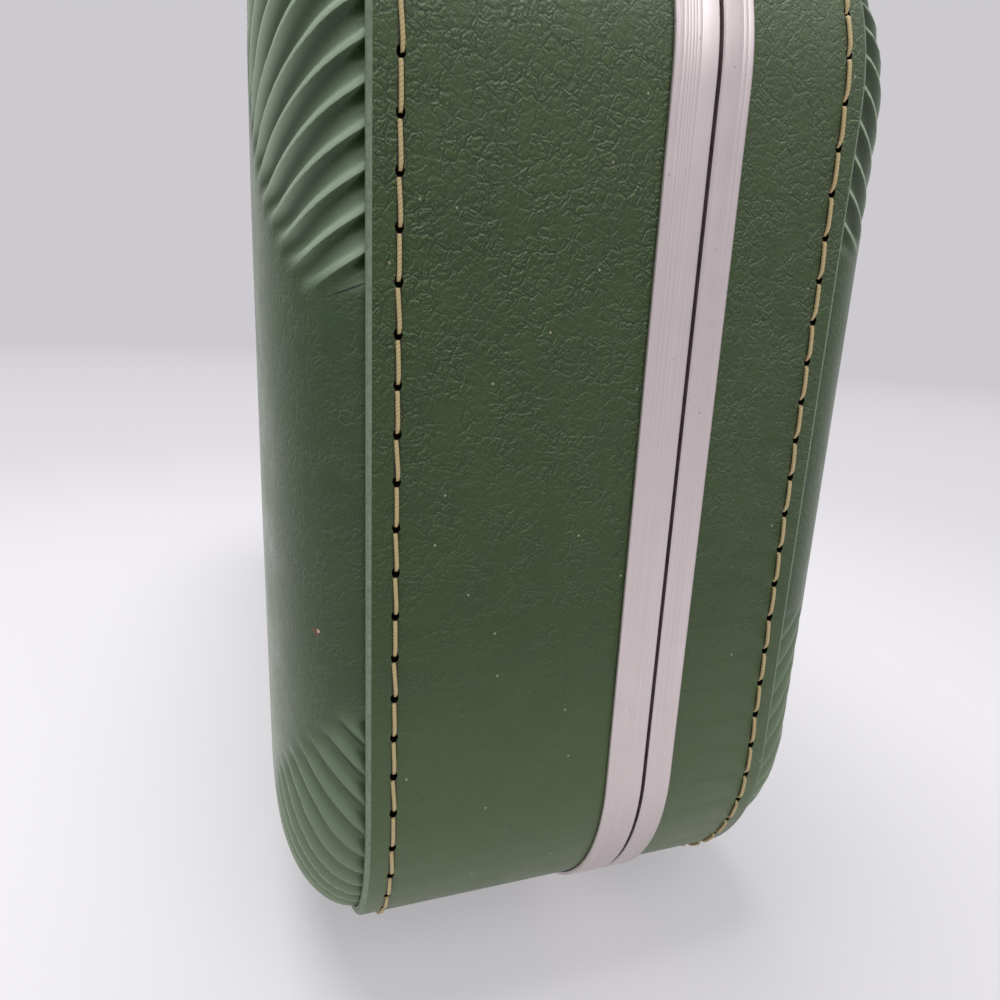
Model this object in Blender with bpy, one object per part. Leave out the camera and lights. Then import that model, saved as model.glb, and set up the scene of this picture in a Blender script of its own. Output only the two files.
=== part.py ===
"""Small hard-shell suitcase with two domed panels, sewn bands and metal closure rails.

The case stands on the feet of its hinge side. X runs along its length, +Y points to the deep half
(the body) and the shallow half (the lid) faces -Y. Lengths are in metres.
"""
import math

import bmesh
import bpy
from mathutils import Matrix, Vector

mm = 0.001

# Whole case: outline of the bands, seen from the front
case_length = 420 * mm
case_height = 288 * mm
corner_radius = 60 * mm
corner_steps = 6
body_depth = 72.9 * mm
lid_depth = 39.1 * mm
foot_height = 7 * mm
clearance = 0.3 * mm
cutter_overrun = 2 * mm

# Panels: moulded fibreboard trays with a flange under the band
body_bulge = 21.5 * mm
lid_bulge = 25 * mm
body_rim_reach = 36 * mm
lid_rim_reach = 34 * mm
panel_wall = 4.2 * mm
panel_flange = 14 * mm
rim_steps = 4
rib_angle_top = math.radians(32.5)
rib_angle_bottom = math.radians(47)
rib_pitch_top = 7.55 * mm
rib_pitch_bottom = 8.35 * mm
rib_depth = 2.6 * mm
rib_fade = 9 * mm
rib_lip = 3 * mm
rib_face_reach = 56 * mm
cut_snap = 0.1 * mm
body_rib_reach_top = 66 * mm
body_rib_reach_bottom = 41.5 * mm
lid_rib_reach_top = 47 * mm
lid_rib_reach_bottom = 62 * mm
body_rib_drop_top = 108 * mm
body_rib_drop_bottom = 91 * mm
lid_rib_drop_top = 92 * mm
lid_rib_drop_bottom = 104 * mm
body_rib_shift_shares = (0.0, -0.33)
lid_rib_shift_shares = (0.07, 0.28)

# Bands, and the plywood frames that stiffen them
band_wall = 2.2 * mm
body_frame_wall = 3 * mm
lid_frame_wall = 2 * mm

# Closure rails: U channels over the bands' edges, with a tongue on the body's
parting_gap = 1 * mm
rail_wall = 1 * mm
rail_web = 1.2 * mm
body_rail_width = 10.6 * mm
lid_rail_width = 7.75 * mm
rail_bevel = 0.5 * mm
body_rail_leg = 8.5 * mm
lid_rail_leg = 6 * mm
tongue_reach = 4 * mm
tongue_wall = 1 * mm
tongue_gap = 0.5 * mm

# Seam threads
thread_width = 1 * mm
thread_height = 0.5 * mm
body_seam_inset = 5.3 * mm
lid_seam_inset = 4.7 * mm

# Linings: cloth on thin card
lining_wall = 1 * mm
lining_inset = 7.6 * mm
body_lining_start = 2.2 * mm
lid_lining_start = 7.5 * mm
lining_steps = 3

# Hinges
hinge_end_inset = 125 * mm
hinge_length = 36 * mm
hinge_leaf = 1 * mm
barrel_radius = 1.9 * mm
hinge_pin_radius = 0.9 * mm
knuckle_share = 0.34
hinge_edge = 0.4 * mm
round_steps = 12

# Latches
latch_handle_gap = 66 * mm
plate_length = 52 * mm
plate_thickness = 1 * mm
plate_edge = 0.3 * mm
body_plate_reach = 26 * mm
lid_plate_reach = 19 * mm
lid_plate_length = 24 * mm
plate_step_gap = 0.5 * mm
case_u = -8 * mm
latch_case_length = 32 * mm
latch_case_front = 12.5 * mm
latch_case_depth = 12 * mm
latch_case_height = 4.6 * mm
latch_case_wall = 1 * mm
slide_length = 14 * mm
slide_travel = 7 * mm
slide_bar_height = 3 * mm
button_length = 7 * mm
button_width = 5 * mm
button_rise = 2.4 * mm
button_taper_share = 0.15
nose_length = 6 * mm
nose_reach = 2.6 * mm
nose_height = 1 * mm
spring_radius = 1.1 * mm
spring_wire = 0.25 * mm
spring_turns = 5
spring_points = 8
hasp_width = 14 * mm
hasp_thickness = 1.2 * mm
hasp_pin_y = 14 * mm
hasp_pin_radius = 0.9 * mm
hasp_flat_end = 8.2 * mm
hasp_lip_end = 12 * mm
hasp_lip_rise = 1.6 * mm
cylinder_u = 17 * mm
cylinder_radius = 4.5 * mm
cylinder_height = 3 * mm
key_slot_width = 1 * mm
key_slot_length = 5 * mm
key_slot_depth = 2 * mm
cylinder_steps = 16

# Handle, folded down over the body's band
handle_half_span = 62 * mm
handle_y = 17 * mm
handle_reach = 32 * mm
grip_radius = 7 * mm
grip_bend = 14 * mm
grip_start = 15 * mm
grip_bend_steps = 5
handle_pin_height = 8 * mm
handle_pin_radius = 1.4 * mm
eye_radius = 4 * mm
eye_width = 6 * mm
shank_half_height = 2 * mm
ear_wall = 1.5 * mm
bracket_base = 1.2 * mm
bracket_flange = 6 * mm
bracket_depth = 10 * mm
bracket_rise = 3.4 * mm
side_gap = 0.5 * mm

# Feet and rivets
foot_end_inset = 80 * mm
foot_radius = 7 * mm
foot_toe_radius = 5 * mm
foot_skirt = 2 * mm
foot_round = 1 * mm
weld_distance = 0.01 * mm
body_foot_y = 52 * mm
lid_foot_y = 25 * mm
rivet_radius = 1.6 * mm
rivet_crown_share = 0.55
rivet_height = 0.8 * mm
rivet_steps = 6
rivet_sink = 0.4 * mm
rivet_inset = 3.5 * mm

# Pocket and packing straps
pocket_end_inset = 70 * mm
pocket_top_inset = 113 * mm
pocket_depth = 7 * mm
pocket_drop = 45 * mm
elastic_height = 12 * mm
elastic_depth = 4 * mm
strap_end_inset = 125 * mm
strap_width = 25 * mm
strap_thickness = 1.6 * mm
strap_rim_inset = 54 * mm
anchor_height = 14 * mm
anchor_thickness = 2.4 * mm
anchor_width = 32 * mm
buckle_length = 36 * mm
buckle_height = 30 * mm
buckle_wall = 4 * mm
buckle_thickness = 2.6 * mm

# Places that follow from the sizes
parting_y = ((lid_depth + lid_bulge) - (body_depth + body_bulge)) / 2
centre_z = foot_height + case_height / 2
top_z = foot_height + case_height
bottom_z = foot_height
half_gap = parting_gap / 2
rail_proud = clearance + rail_wall
band_start = half_gap + rail_web + clearance
flange_inset = band_wall + clearance
hinge_axis_z = bottom_z - rail_proud - clearance - barrel_radius
plate_under = rail_proud + clearance
plate_top = plate_under + plate_thickness
hasp_axis_z = top_z + plate_top + clearance + barrel_radius
handle_axis_z = top_z + handle_pin_height
lid_axis = Vector((0, parting_y, hinge_axis_z))
hinge_x = case_length / 2 - hinge_end_inset
foot_x = case_length / 2 - foot_end_inset
strap_x = case_length / 2 - strap_end_inset
strap_half_length = case_height / 2 - strap_rim_inset
latch_x = handle_half_span + latch_handle_gap


def clear_scene():
    for old in list(bpy.data.objects):
        bpy.data.objects.remove(old, do_unlink=True)


def linear(hex_colour):
    channels = [int(hex_colour[i:i + 2], 16) / 255 for i in (0, 2, 4)]
    return [c / 12.92 if c <= 0.04045 else ((c + 0.055) / 1.055) ** 2.4 for c in channels]


def material(name, hex_colour, roughness, metallic=0.0):
    """One Principled finish for each material of the case."""
    mat = bpy.data.materials.new(name)
    mat.use_nodes = True
    shader = mat.node_tree.nodes["Principled BSDF"]
    shader.inputs["Base Color"].default_value = (*linear(hex_colour), 1)
    shader.inputs["Roughness"].default_value = roughness
    shader.inputs["Metallic"].default_value = metallic
    mat.diffuse_color = (*linear(hex_colour), 1)
    return mat


clear_scene()
band_vinyl = material("band_vinyl", "4A6040", 0.5)
panel_vinyl = material("panel_vinyl", "4C6A50", 0.32)
rail_aluminium = material("rail_aluminium", "CFC6C5", 0.38, 1.0)
linen_thread = material("linen_thread", "C8B58C", 0.8)
plywood = material("plywood", "B9935F", 0.7)
lining_cloth = material("lining_cloth", "B9AC8E", 0.85)
pocket_cloth = material("pocket_cloth", "A99B7B", 0.85)
elastic_tape = material("elastic_tape", "8E8164", 0.8)
strap_web = material("strap_web", "6E6247", 0.8)
nickel_plate = material("nickel_plate", "C9C6BF", 0.25, 1.0)
steel_pin = material("steel_pin", "8F8F8F", 0.35, 1.0)
brass_lock = material("brass_lock", "B89A55", 0.3, 1.0)
spring_steel = material("spring_steel", "6F7072", 0.4, 1.0)
grip_vinyl = material("grip_vinyl", "3F5638", 0.45)
foot_nickel = material("foot_nickel", "BDB9B0", 0.3, 1.0)


def add_axis(name, place, parent=None):
    """An empty that marks a joint's axis and carries the pieces that turn about it."""
    axis = bpy.data.objects.new(name, None)
    axis.empty_display_size = clearance
    bpy.context.collection.objects.link(axis)
    axis.parent = parent
    axis.location = place - (parent.location if parent else Vector((0, 0, 0)))
    return axis


def add_piece(name, bm, mat, origin=None, parent=None):
    """Turn a bmesh in world space into a named object whose origin is at the given place."""
    if origin is None:
        origin = parent.location if parent else (0, 0, 0)
    origin = Vector(origin)
    bmesh.ops.recalc_face_normals(bm, faces=bm.faces[:])
    bmesh.ops.translate(bm, vec=-origin, verts=bm.verts[:])
    mesh = bpy.data.meshes.new(name)
    bm.to_mesh(mesh)
    bm.free()
    mesh.materials.append(mat)
    piece = bpy.data.objects.new(name, mesh)
    bpy.context.collection.objects.link(piece)
    piece.parent = parent
    piece.location = origin - (parent.location if parent else Vector((0, 0, 0)))
    return piece


def combine(piece, tool_bm, operation):
    """Give a piece a live Boolean with a hidden tool shape."""
    tool = add_piece(f"{piece.name}_tool_{len(piece.modifiers)}", tool_bm, steel_pin)
    tool.hide_render = True
    tool.display_type = "WIRE"
    step = piece.modifiers.new(operation.lower(), "BOOLEAN")
    step.operation = operation
    step.solver = "EXACT"
    step.object = tool


def drill(piece, tool_bm):
    combine(piece, tool_bm, "DIFFERENCE")


def join(piece, tool_bm):
    combine(piece, tool_bm, "UNION")


def add_box(bm, low, high):
    low, high = Vector(low), Vector(high)
    cube = bmesh.ops.create_cube(bm, size=1)
    bmesh.ops.scale(bm, vec=high - low, verts=cube["verts"])
    bmesh.ops.translate(bm, vec=(high + low) / 2, verts=cube["verts"])
    return cube["verts"]


def box(low, high):
    bm = bmesh.new()
    add_box(bm, low, high)
    return bm


def add_rod(bm, start, end, radius, steps=round_steps, end_radius=None):
    """A round bar from start to end."""
    start, end = Vector(start), Vector(end)
    run = end - start
    turn = run.to_track_quat("Z", "Y").to_matrix().to_4x4()
    bmesh.ops.create_cone(
        bm, cap_ends=True, segments=steps, radius1=radius,
        radius2=radius if end_radius is None else end_radius, depth=run.length,
        matrix=Matrix.Translation((start + end) / 2) @ turn)


def rod(start, end, radius, steps=round_steps, end_radius=None):
    bm = bmesh.new()
    add_rod(bm, start, end, radius, steps, end_radius)
    return bm


def add_prism(bm, profile, low_x, high_x):
    """Extrude a (y, z) profile along X."""
    verts = [bm.verts.new((low_x, y, z)) for y, z in profile]
    face = bm.faces.new(verts)
    grown = bmesh.ops.extrude_face_region(bm, geom=[face])
    moved = [v for v in grown["geom"] if isinstance(v, bmesh.types.BMVert)]
    bmesh.ops.translate(bm, vec=(high_x - low_x, 0, 0), verts=moved)


def prism(profile, low_x, high_x):
    bm = bmesh.new()
    add_prism(bm, profile, low_x, high_x)
    return bm


def arc(centre, radius, start_degrees, end_degrees, steps):
    """Points on a circle in the (y, z) plane."""
    points = []
    for i in range(steps + 1):
        angle = math.radians(start_degrees + (end_degrees - start_degrees) * i / steps)
        points.append((centre[0] + radius * math.cos(angle), centre[1] + radius * math.sin(angle)))
    return points


def case_y(side, depth):
    """World y of a depth measured from the middle of the parting gap; side is 1 on the body."""
    return parting_y + side * depth


def outline(inset, steps=corner_steps):
    """Rounded rectangle of the case, drawn in by an inset, as (x, z) about its centre."""
    radius = corner_radius - inset
    corner_x = case_length / 2 - corner_radius
    corner_z = case_height / 2 - corner_radius
    points = []
    for quarter, (sx, sz) in enumerate(((1, 1), (-1, 1), (-1, -1), (1, -1))):
        for i in range(steps + 1):
            angle = math.radians(90 * (quarter + i / steps))
            points.append((sx * corner_x + radius * math.cos(angle),
                           sz * corner_z + radius * math.sin(angle)))
    return points


def add_loop(bm, inset, side, depth):
    return [bm.verts.new((x, case_y(side, depth), centre_z + z)) for x, z in outline(inset)]


def skin_loops(bm, first, second):
    count = len(first)
    for i in range(count):
        j = (i + 1) % count
        bm.faces.new((first[i], first[j], second[j], second[i]))


def ring(section, side):
    """Sweep a closed (inset, depth) section round the case."""
    bm = bmesh.new()
    loops = [add_loop(bm, inset, side, depth) for inset, depth in section]
    for first, second in zip(loops, loops[1:] + loops[:1]):
        skin_loops(bm, first, second)
    return bm


def rim_arc(reach, bulge, angle):
    """Inset, rise and inward normal of the quarter-elliptic rim at an angle from the band."""
    inset = reach * (1 - math.cos(angle))
    rise = bulge * math.sin(angle)
    across = bulge * math.cos(angle)
    along = reach * math.sin(angle)
    size = math.hypot(across, along)
    return inset, rise, across / size, -along / size


def rim_table(reach, bulge, samples=90):
    """Arc length along the rim against its angle."""
    table = [(0.0, 0.0)]
    last_inset, last_rise = 0.0, 0.0
    for i in range(1, samples + 1):
        angle = math.radians(90) * i / samples
        inset, rise = rim_arc(reach, bulge, angle)[:2]
        table.append((table[-1][0] + math.hypot(inset - last_inset, rise - last_rise), angle))
        last_inset, last_rise = inset, rise
    return table


def angle_at(table, length):
    for (low, low_angle), (high, high_angle) in zip(table, table[1:]):
        if length <= high:
            return low_angle + (high_angle - low_angle) * (length - low) / (high - low)
    return table[-1][1]


def flat_inset(x, z):
    """Inset from the panel's faceted outline, and the outward run for each unit of inset."""
    radius = corner_radius - flange_inset
    over_x = abs(x) - (case_length / 2 - corner_radius)
    over_z = abs(z) - (case_height / 2 - corner_radius)
    sign_x, sign_z = math.copysign(1, x), math.copysign(1, z)
    if over_x > 0 and over_z > 0:
        facet = math.radians(90) / corner_steps
        off_middle = math.atan2(over_z, over_x) % facet - facet / 2
        reach = math.hypot(over_x, over_z) * math.cos(off_middle) / math.cos(facet / 2)
        return radius - reach, sign_x * over_x / reach, sign_z * over_z / reach
    if over_x > over_z:
        return radius - over_x, sign_x, 0.0
    return radius - over_z, 0.0, sign_z


class Ribs:
    """The straight ribs of an upper or a lower corner; they run from the rim towards the middle."""

    def __init__(self, angle, pitch, reach, drop, shift_share):
        self.slope = math.tan(angle)
        self.normal_x, self.normal_z = -math.sin(angle), math.cos(angle)
        self.pitch = pitch
        self.zone = case_length / 2 + case_height / 2 - corner_radius - reach
        self.start = case_height / 2 - drop
        self.shift_share = shift_share

    def crest_height(self, count):
        """Height over the case's middle at which a crest, counted in pitches, meets the band."""
        return case_height / 2 - corner_radius + (count + self.shift_share) * self.pitch

    def place(self, x, z):
        """Distance across the ribs from the first crest, in pitches."""
        inwards = case_length / 2 - flange_inset - abs(x)
        return (abs(z) + self.slope * inwards - self.crest_height(0)) / self.pitch

    def fade(self, x, z, length):
        """Share of the full depth, from 0 where the ribs run out."""
        run = min((abs(x) + abs(z) - self.zone) / math.sqrt(2), abs(z) - self.start,
                  rib_face_reach - length)
        return min(max(run / rib_fade, 0), 1)


def panel(name, side, depth, bulge, reach, top_ribs, bottom_ribs, parent):
    """A domed panel: laid out flat, cut along its ribs, wrapped over its rim and given a wall."""
    table = rim_table(reach, bulge)
    rim_length = table[-1][0]
    steps = [angle_at(table, rim_length * i / rim_steps) for i in range(rim_steps + 1)]
    bm = bmesh.new()
    flat_lines = [-panel_flange, -rib_lip] + [rim_length * i / rim_steps for i in range(rim_steps + 1)]
    flat_lines += [rib_face_reach - rib_fade, rib_face_reach]
    loops = []
    for line in flat_lines:
        loops.append([bm.verts.new((x, 0, z)) for x, z in outline(flange_inset + line)])
    for first, second in zip(loops, loops[1:]):
        skin_loops(bm, first, second)
    bm.faces.new(loops[-1])
    flange_edge = loops[0]

    for sign_z, ribs in ((1, top_ribs), (-1, bottom_ribs)):
        for sign_x in (1, -1):
            cut_corner(bm, sign_x, sign_z, ribs)

    for vert in bm.verts:
        x, z = vert.co.x, vert.co.z
        length, out_x, out_z = flat_inset(x, z)
        ribs = top_ribs if z > 0 else bottom_ribs
        place = ribs.place(x, z)
        groove = rib_depth * ribs.fade(x, z, length) * abs(place - round(place)) * 2
        if length <= -rib_lip / 2:
            groove = 0.0
        if length < 0:
            inset, rise, inward, up = 0.0, length, 1.0, 0.0
        else:
            angle = angle_at(table, min(length, rim_length))
            inset, rise, inward, up = rim_arc(reach, bulge, angle)
            inset += max(length - rim_length, 0)
        inset += inward * groove
        rise += up * groove
        shift_out = length - inset
        vert.co.x = x + out_x * shift_out
        vert.co.z = centre_z + z + out_z * shift_out
        vert.co.y = case_y(side, depth + rise)

    inner = [add_loop(bm, flange_inset + panel_wall, side, depth - panel_flange)]
    for angle in steps:
        inset, rise = rim_arc(reach - panel_wall, bulge - panel_wall, angle)[:2]
        inner.append(add_loop(bm, flange_inset + panel_wall + inset, side, depth + rise))
    skin_loops(bm, flange_edge, inner[0])
    for first, second in zip(inner, inner[1:]):
        skin_loops(bm, first, second)
    bm.faces.new(inner[-1])
    bmesh.ops.poke(bm, faces=[face for face in bm.faces if len(face.verts) > 4])
    bmesh.ops.triangulate(bm, faces=bm.faces[:])
    return add_piece(name, bm, panel_vinyl, parent=parent)


def grooved_faces(bm, sign_x, sign_z):
    """Faces of one corner that ribs may cross: not the flange's plain end, nor the plain middle."""
    faces = []
    for face in bm.faces:
        centre = face.calc_center_median()
        in_corner = sign_x * centre.x > -cut_snap and max(sign_z * v.co.z for v in face.verts) > 0
        if in_corner and -rib_lip < flat_inset(centre.x, centre.z)[0] < rib_face_reach:
            faces.append(face)
    return faces


def bisect_faces(bm, faces, normal, distance):
    """Cut some of the faces along the plane at a distance along its normal."""
    crossed = []
    for face in faces:
        spread = [normal.dot(vert.co) - distance for vert in face.verts]
        if min(spread) < -cut_snap and max(spread) > cut_snap:
            crossed.append(face)
    if not crossed:
        return
    edges = list({edge for face in crossed for edge in face.edges})
    verts = list({vert for face in crossed for vert in face.verts})
    bmesh.ops.bisect_plane(bm, geom=verts + edges + crossed, dist=cut_snap,
                           plane_co=normal * distance, plane_no=normal)


def cut_corner(bm, sign_x, sign_z, ribs):
    """Cut the flat panel along one corner's run-out lines, crests and valleys."""
    diagonal = Vector((sign_x, 0, sign_z)).normalized()
    upwards = Vector((0, 0, sign_z))
    for step in (-rib_fade, 0, rib_fade):
        bisect_faces(bm, grooved_faces(bm, sign_x, sign_z), diagonal, ribs.zone / math.sqrt(2) + step)
        bisect_faces(bm, grooved_faces(bm, sign_x, sign_z), upwards, ribs.start + step)
    normal = Vector((sign_x * ribs.normal_x, 0, sign_z * ribs.normal_z))
    edge_x = case_length / 2 - flange_inset
    reach = round((case_length + case_height) / ribs.pitch)
    for half_step in range(-2 * reach, 2 * reach):
        distance = ribs.normal_x * edge_x + ribs.normal_z * ribs.crest_height(half_step / 2)
        faces = []
        for face in grooved_faces(bm, sign_x, sign_z):
            centre = face.calc_center_median()
            if abs(centre.x) + abs(centre.z) > ribs.zone and abs(centre.z) > ribs.start:
                faces.append(face)
        bisect_faces(bm, faces, normal, distance)


def band(name, side, depth, parent):
    section = [(0, band_start), (0, depth), (band_wall, depth), (band_wall, band_start)]
    add_piece(name, ring(section, side), band_vinyl, parent=parent)


def frame_ring(name, side, depth, wall, parent):
    end = depth - panel_flange - clearance
    section = [(flange_inset, band_start), (flange_inset, end), (flange_inset + wall, end),
               (flange_inset + wall, band_start)]
    add_piece(name, ring(section, side), plywood, parent=parent)


def seam_thread(name, side, place, parent):
    low, high = place - thread_width / 2, place + thread_width / 2
    under, over = -clearance, -clearance - thread_height
    section = [(under, low), (under, high), (over, high), (over, low)]
    add_piece(name, ring(section, side), linen_thread, parent=parent)


def lining(name, side, depth, bulge, reach, start, parent):
    """A thin tray that follows the inside of the wall and of the panel."""
    centre_inset = flange_inset + reach
    inner_radius = centre_inset - lining_inset
    rise = bulge - panel_wall - clearance
    outer = [(lining_inset, start)]
    inner = [(lining_inset + lining_wall, start)]
    for i in range(lining_steps + 1):
        angle = math.radians(90) * i / lining_steps
        outer.append((centre_inset - inner_radius * math.cos(angle), depth + rise * math.sin(angle)))
        inner.append((centre_inset - (inner_radius - lining_wall) * math.cos(angle),
                      depth + (rise - lining_wall) * math.sin(angle)))
    bm = bmesh.new()
    outer_loops = [add_loop(bm, inset, side, place) for inset, place in outer]
    inner_loops = [add_loop(bm, inset, side, place) for inset, place in inner]
    for loops in (outer_loops, inner_loops):
        for first, second in zip(loops, loops[1:]):
            skin_loops(bm, first, second)
        bm.faces.new(loops[-1])
    skin_loops(bm, outer_loops[0], inner_loops[0])
    add_piece(name, bm, lining_cloth, parent=parent)


def body_rail_section():
    outer, under = -rail_proud, -clearance
    wide = half_gap + body_rail_width
    leg_start = flange_inset + body_frame_wall + clearance
    leg_end = leg_start + tongue_gap + tongue_wall
    return [(outer, half_gap), (outer, wide - rail_bevel), (outer + rail_bevel, wide), (under, wide),
            (under, half_gap + rail_web), (leg_start, half_gap + rail_web),
            (leg_start, half_gap + body_rail_leg), (leg_end, half_gap + body_rail_leg),
            (leg_end, -tongue_reach), (leg_end - tongue_wall, -tongue_reach),
            (leg_end - tongue_wall, half_gap)]


def lid_rail_section():
    outer, under = -rail_proud, -clearance
    wide = half_gap + lid_rail_width
    leg_start = flange_inset + lid_frame_wall + clearance
    leg_end = leg_start + rail_wall
    return [(outer, half_gap), (outer, wide - rail_bevel), (outer + rail_bevel, wide), (under, wide),
            (under, half_gap + rail_web), (leg_start, half_gap + rail_web),
            (leg_start, half_gap + lid_rail_leg), (leg_end, half_gap + lid_rail_leg),
            (leg_end, half_gap)]


def rivet(piece, places, direction):
    """Peen low rivet heads into a plate; each place is on the face that the head sits on."""
    bm = bmesh.new()
    for place in places:
        face = Vector(place)
        out = Vector(direction)
        add_rod(bm, face - out * rivet_sink, face + out * rivet_height, rivet_radius, rivet_steps,
                rivet_radius * rivet_crown_share)
    join(piece, bm)


def hinge(label, x, lid_parent):
    """Two leaves under the rails, three knuckles and a pin."""
    low, high = x - hinge_length / 2, x + hinge_length / 2
    third = hinge_length * knuckle_share / 2
    leaf_top = bottom_z - rail_proud - clearance
    leaf_bottom = leaf_top - hinge_leaf
    for half, side, width in (("body", 1, body_rail_width), ("lid", -1, lid_rail_width)):
        reach = half_gap + width - hinge_edge
        meet = 360 + math.degrees(math.asin((barrel_radius - hinge_leaf) / barrel_radius))
        rounded = [(case_y(side, y), z) for y, z in arc((0, hinge_axis_z), barrel_radius, 90, meet,
                                                        round_steps)]
        profile = rounded + [(case_y(side, reach), leaf_bottom), (case_y(side, reach), leaf_top)]
        leaf = add_piece(f"hinge_{label}_{half}_leaf", prism(profile, low, high), nickel_plate,
                         (x, parting_y, hinge_axis_z), lid_parent if side < 0 else None)
        slots = bmesh.new()
        room = barrel_radius + clearance
        if side > 0:
            spans = [(x - third - clearance, x + third + clearance)]
        else:
            spans = [(low - cutter_overrun, x - third), (x + third, high + cutter_overrun)]
        for first, last in spans:
            add_box(slots, (first, parting_y - room, hinge_axis_z - room),
                    (last, parting_y + room, hinge_axis_z + room))
        drill(leaf, slots)
        drill(leaf, rod((low - cutter_overrun, parting_y, hinge_axis_z),
                        (high + cutter_overrun, parting_y, hinge_axis_z),
                        hinge_pin_radius + clearance))
        rivet_y = case_y(side, half_gap + (barrel_radius + width) / 2)
        spread = hinge_length / 2 - rivet_inset
        rivet(leaf, [(x + step * spread, rivet_y, leaf_bottom) for step in (-1, 0, 1)], (0, 0, -1))
    add_piece(f"hinge_{label}_pin", rod((low, parting_y, hinge_axis_z), (high, parting_y, hinge_axis_z),
                                        hinge_pin_radius), steel_pin, (x, parting_y, hinge_axis_z))


def stepped_plate(side, reach, width):
    """Plate that bridges from the rail down to the band, as a (y, z) profile."""
    start = half_gap + plate_edge
    step = half_gap + width + plate_step_gap
    upper = top_z + plate_under
    lower = top_z + clearance
    top = top_z + plate_top
    return [(case_y(side, start), upper), (case_y(side, step), upper), (case_y(side, step), lower),
            (case_y(side, reach), lower), (case_y(side, reach), top), (case_y(side, start), top)]


def hasp_profile(pin_y):
    """Barrel, flat strip and raised lip of a hasp, as (y, z)."""
    bottom = hasp_axis_z - barrel_radius
    top = bottom + hasp_thickness
    flat_end, lip_end = case_y(1, hasp_flat_end), case_y(1, hasp_lip_end)
    meet = math.degrees(math.asin((top - hasp_axis_z) / barrel_radius))
    profile = arc((pin_y, hasp_axis_z), barrel_radius, meet, 270, round_steps)
    profile += [(flat_end, bottom), (flat_end + hasp_thickness, bottom + hasp_lip_rise),
                (lip_end, bottom + hasp_lip_rise), (lip_end, top + hasp_lip_rise),
                (flat_end, top + hasp_lip_rise), (flat_end - hasp_thickness, top)]
    return profile


def coil_spring(name, start, end, radius, wire, turns):
    """An open helix of round wire along X."""
    curve = bpy.data.curves.new(name, "CURVE")
    curve.dimensions = "3D"
    curve.bevel_depth = wire
    curve.bevel_resolution = 0
    curve.use_fill_caps = True
    curve.render_resolution_u = 0
    coil = curve.splines.new("POLY")
    count = turns * spring_points
    coil.points.add(count)
    for i, point in enumerate(coil.points):
        angle = math.tau * i / spring_points
        place = start.lerp(end, i / count)
        point.co = (place.x, place.y + radius * math.cos(angle), place.z + radius * math.sin(angle), 1)
    curve.materials.append(spring_steel)
    bpy.context.collection.objects.link(bpy.data.objects.new(name, curve))


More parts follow.
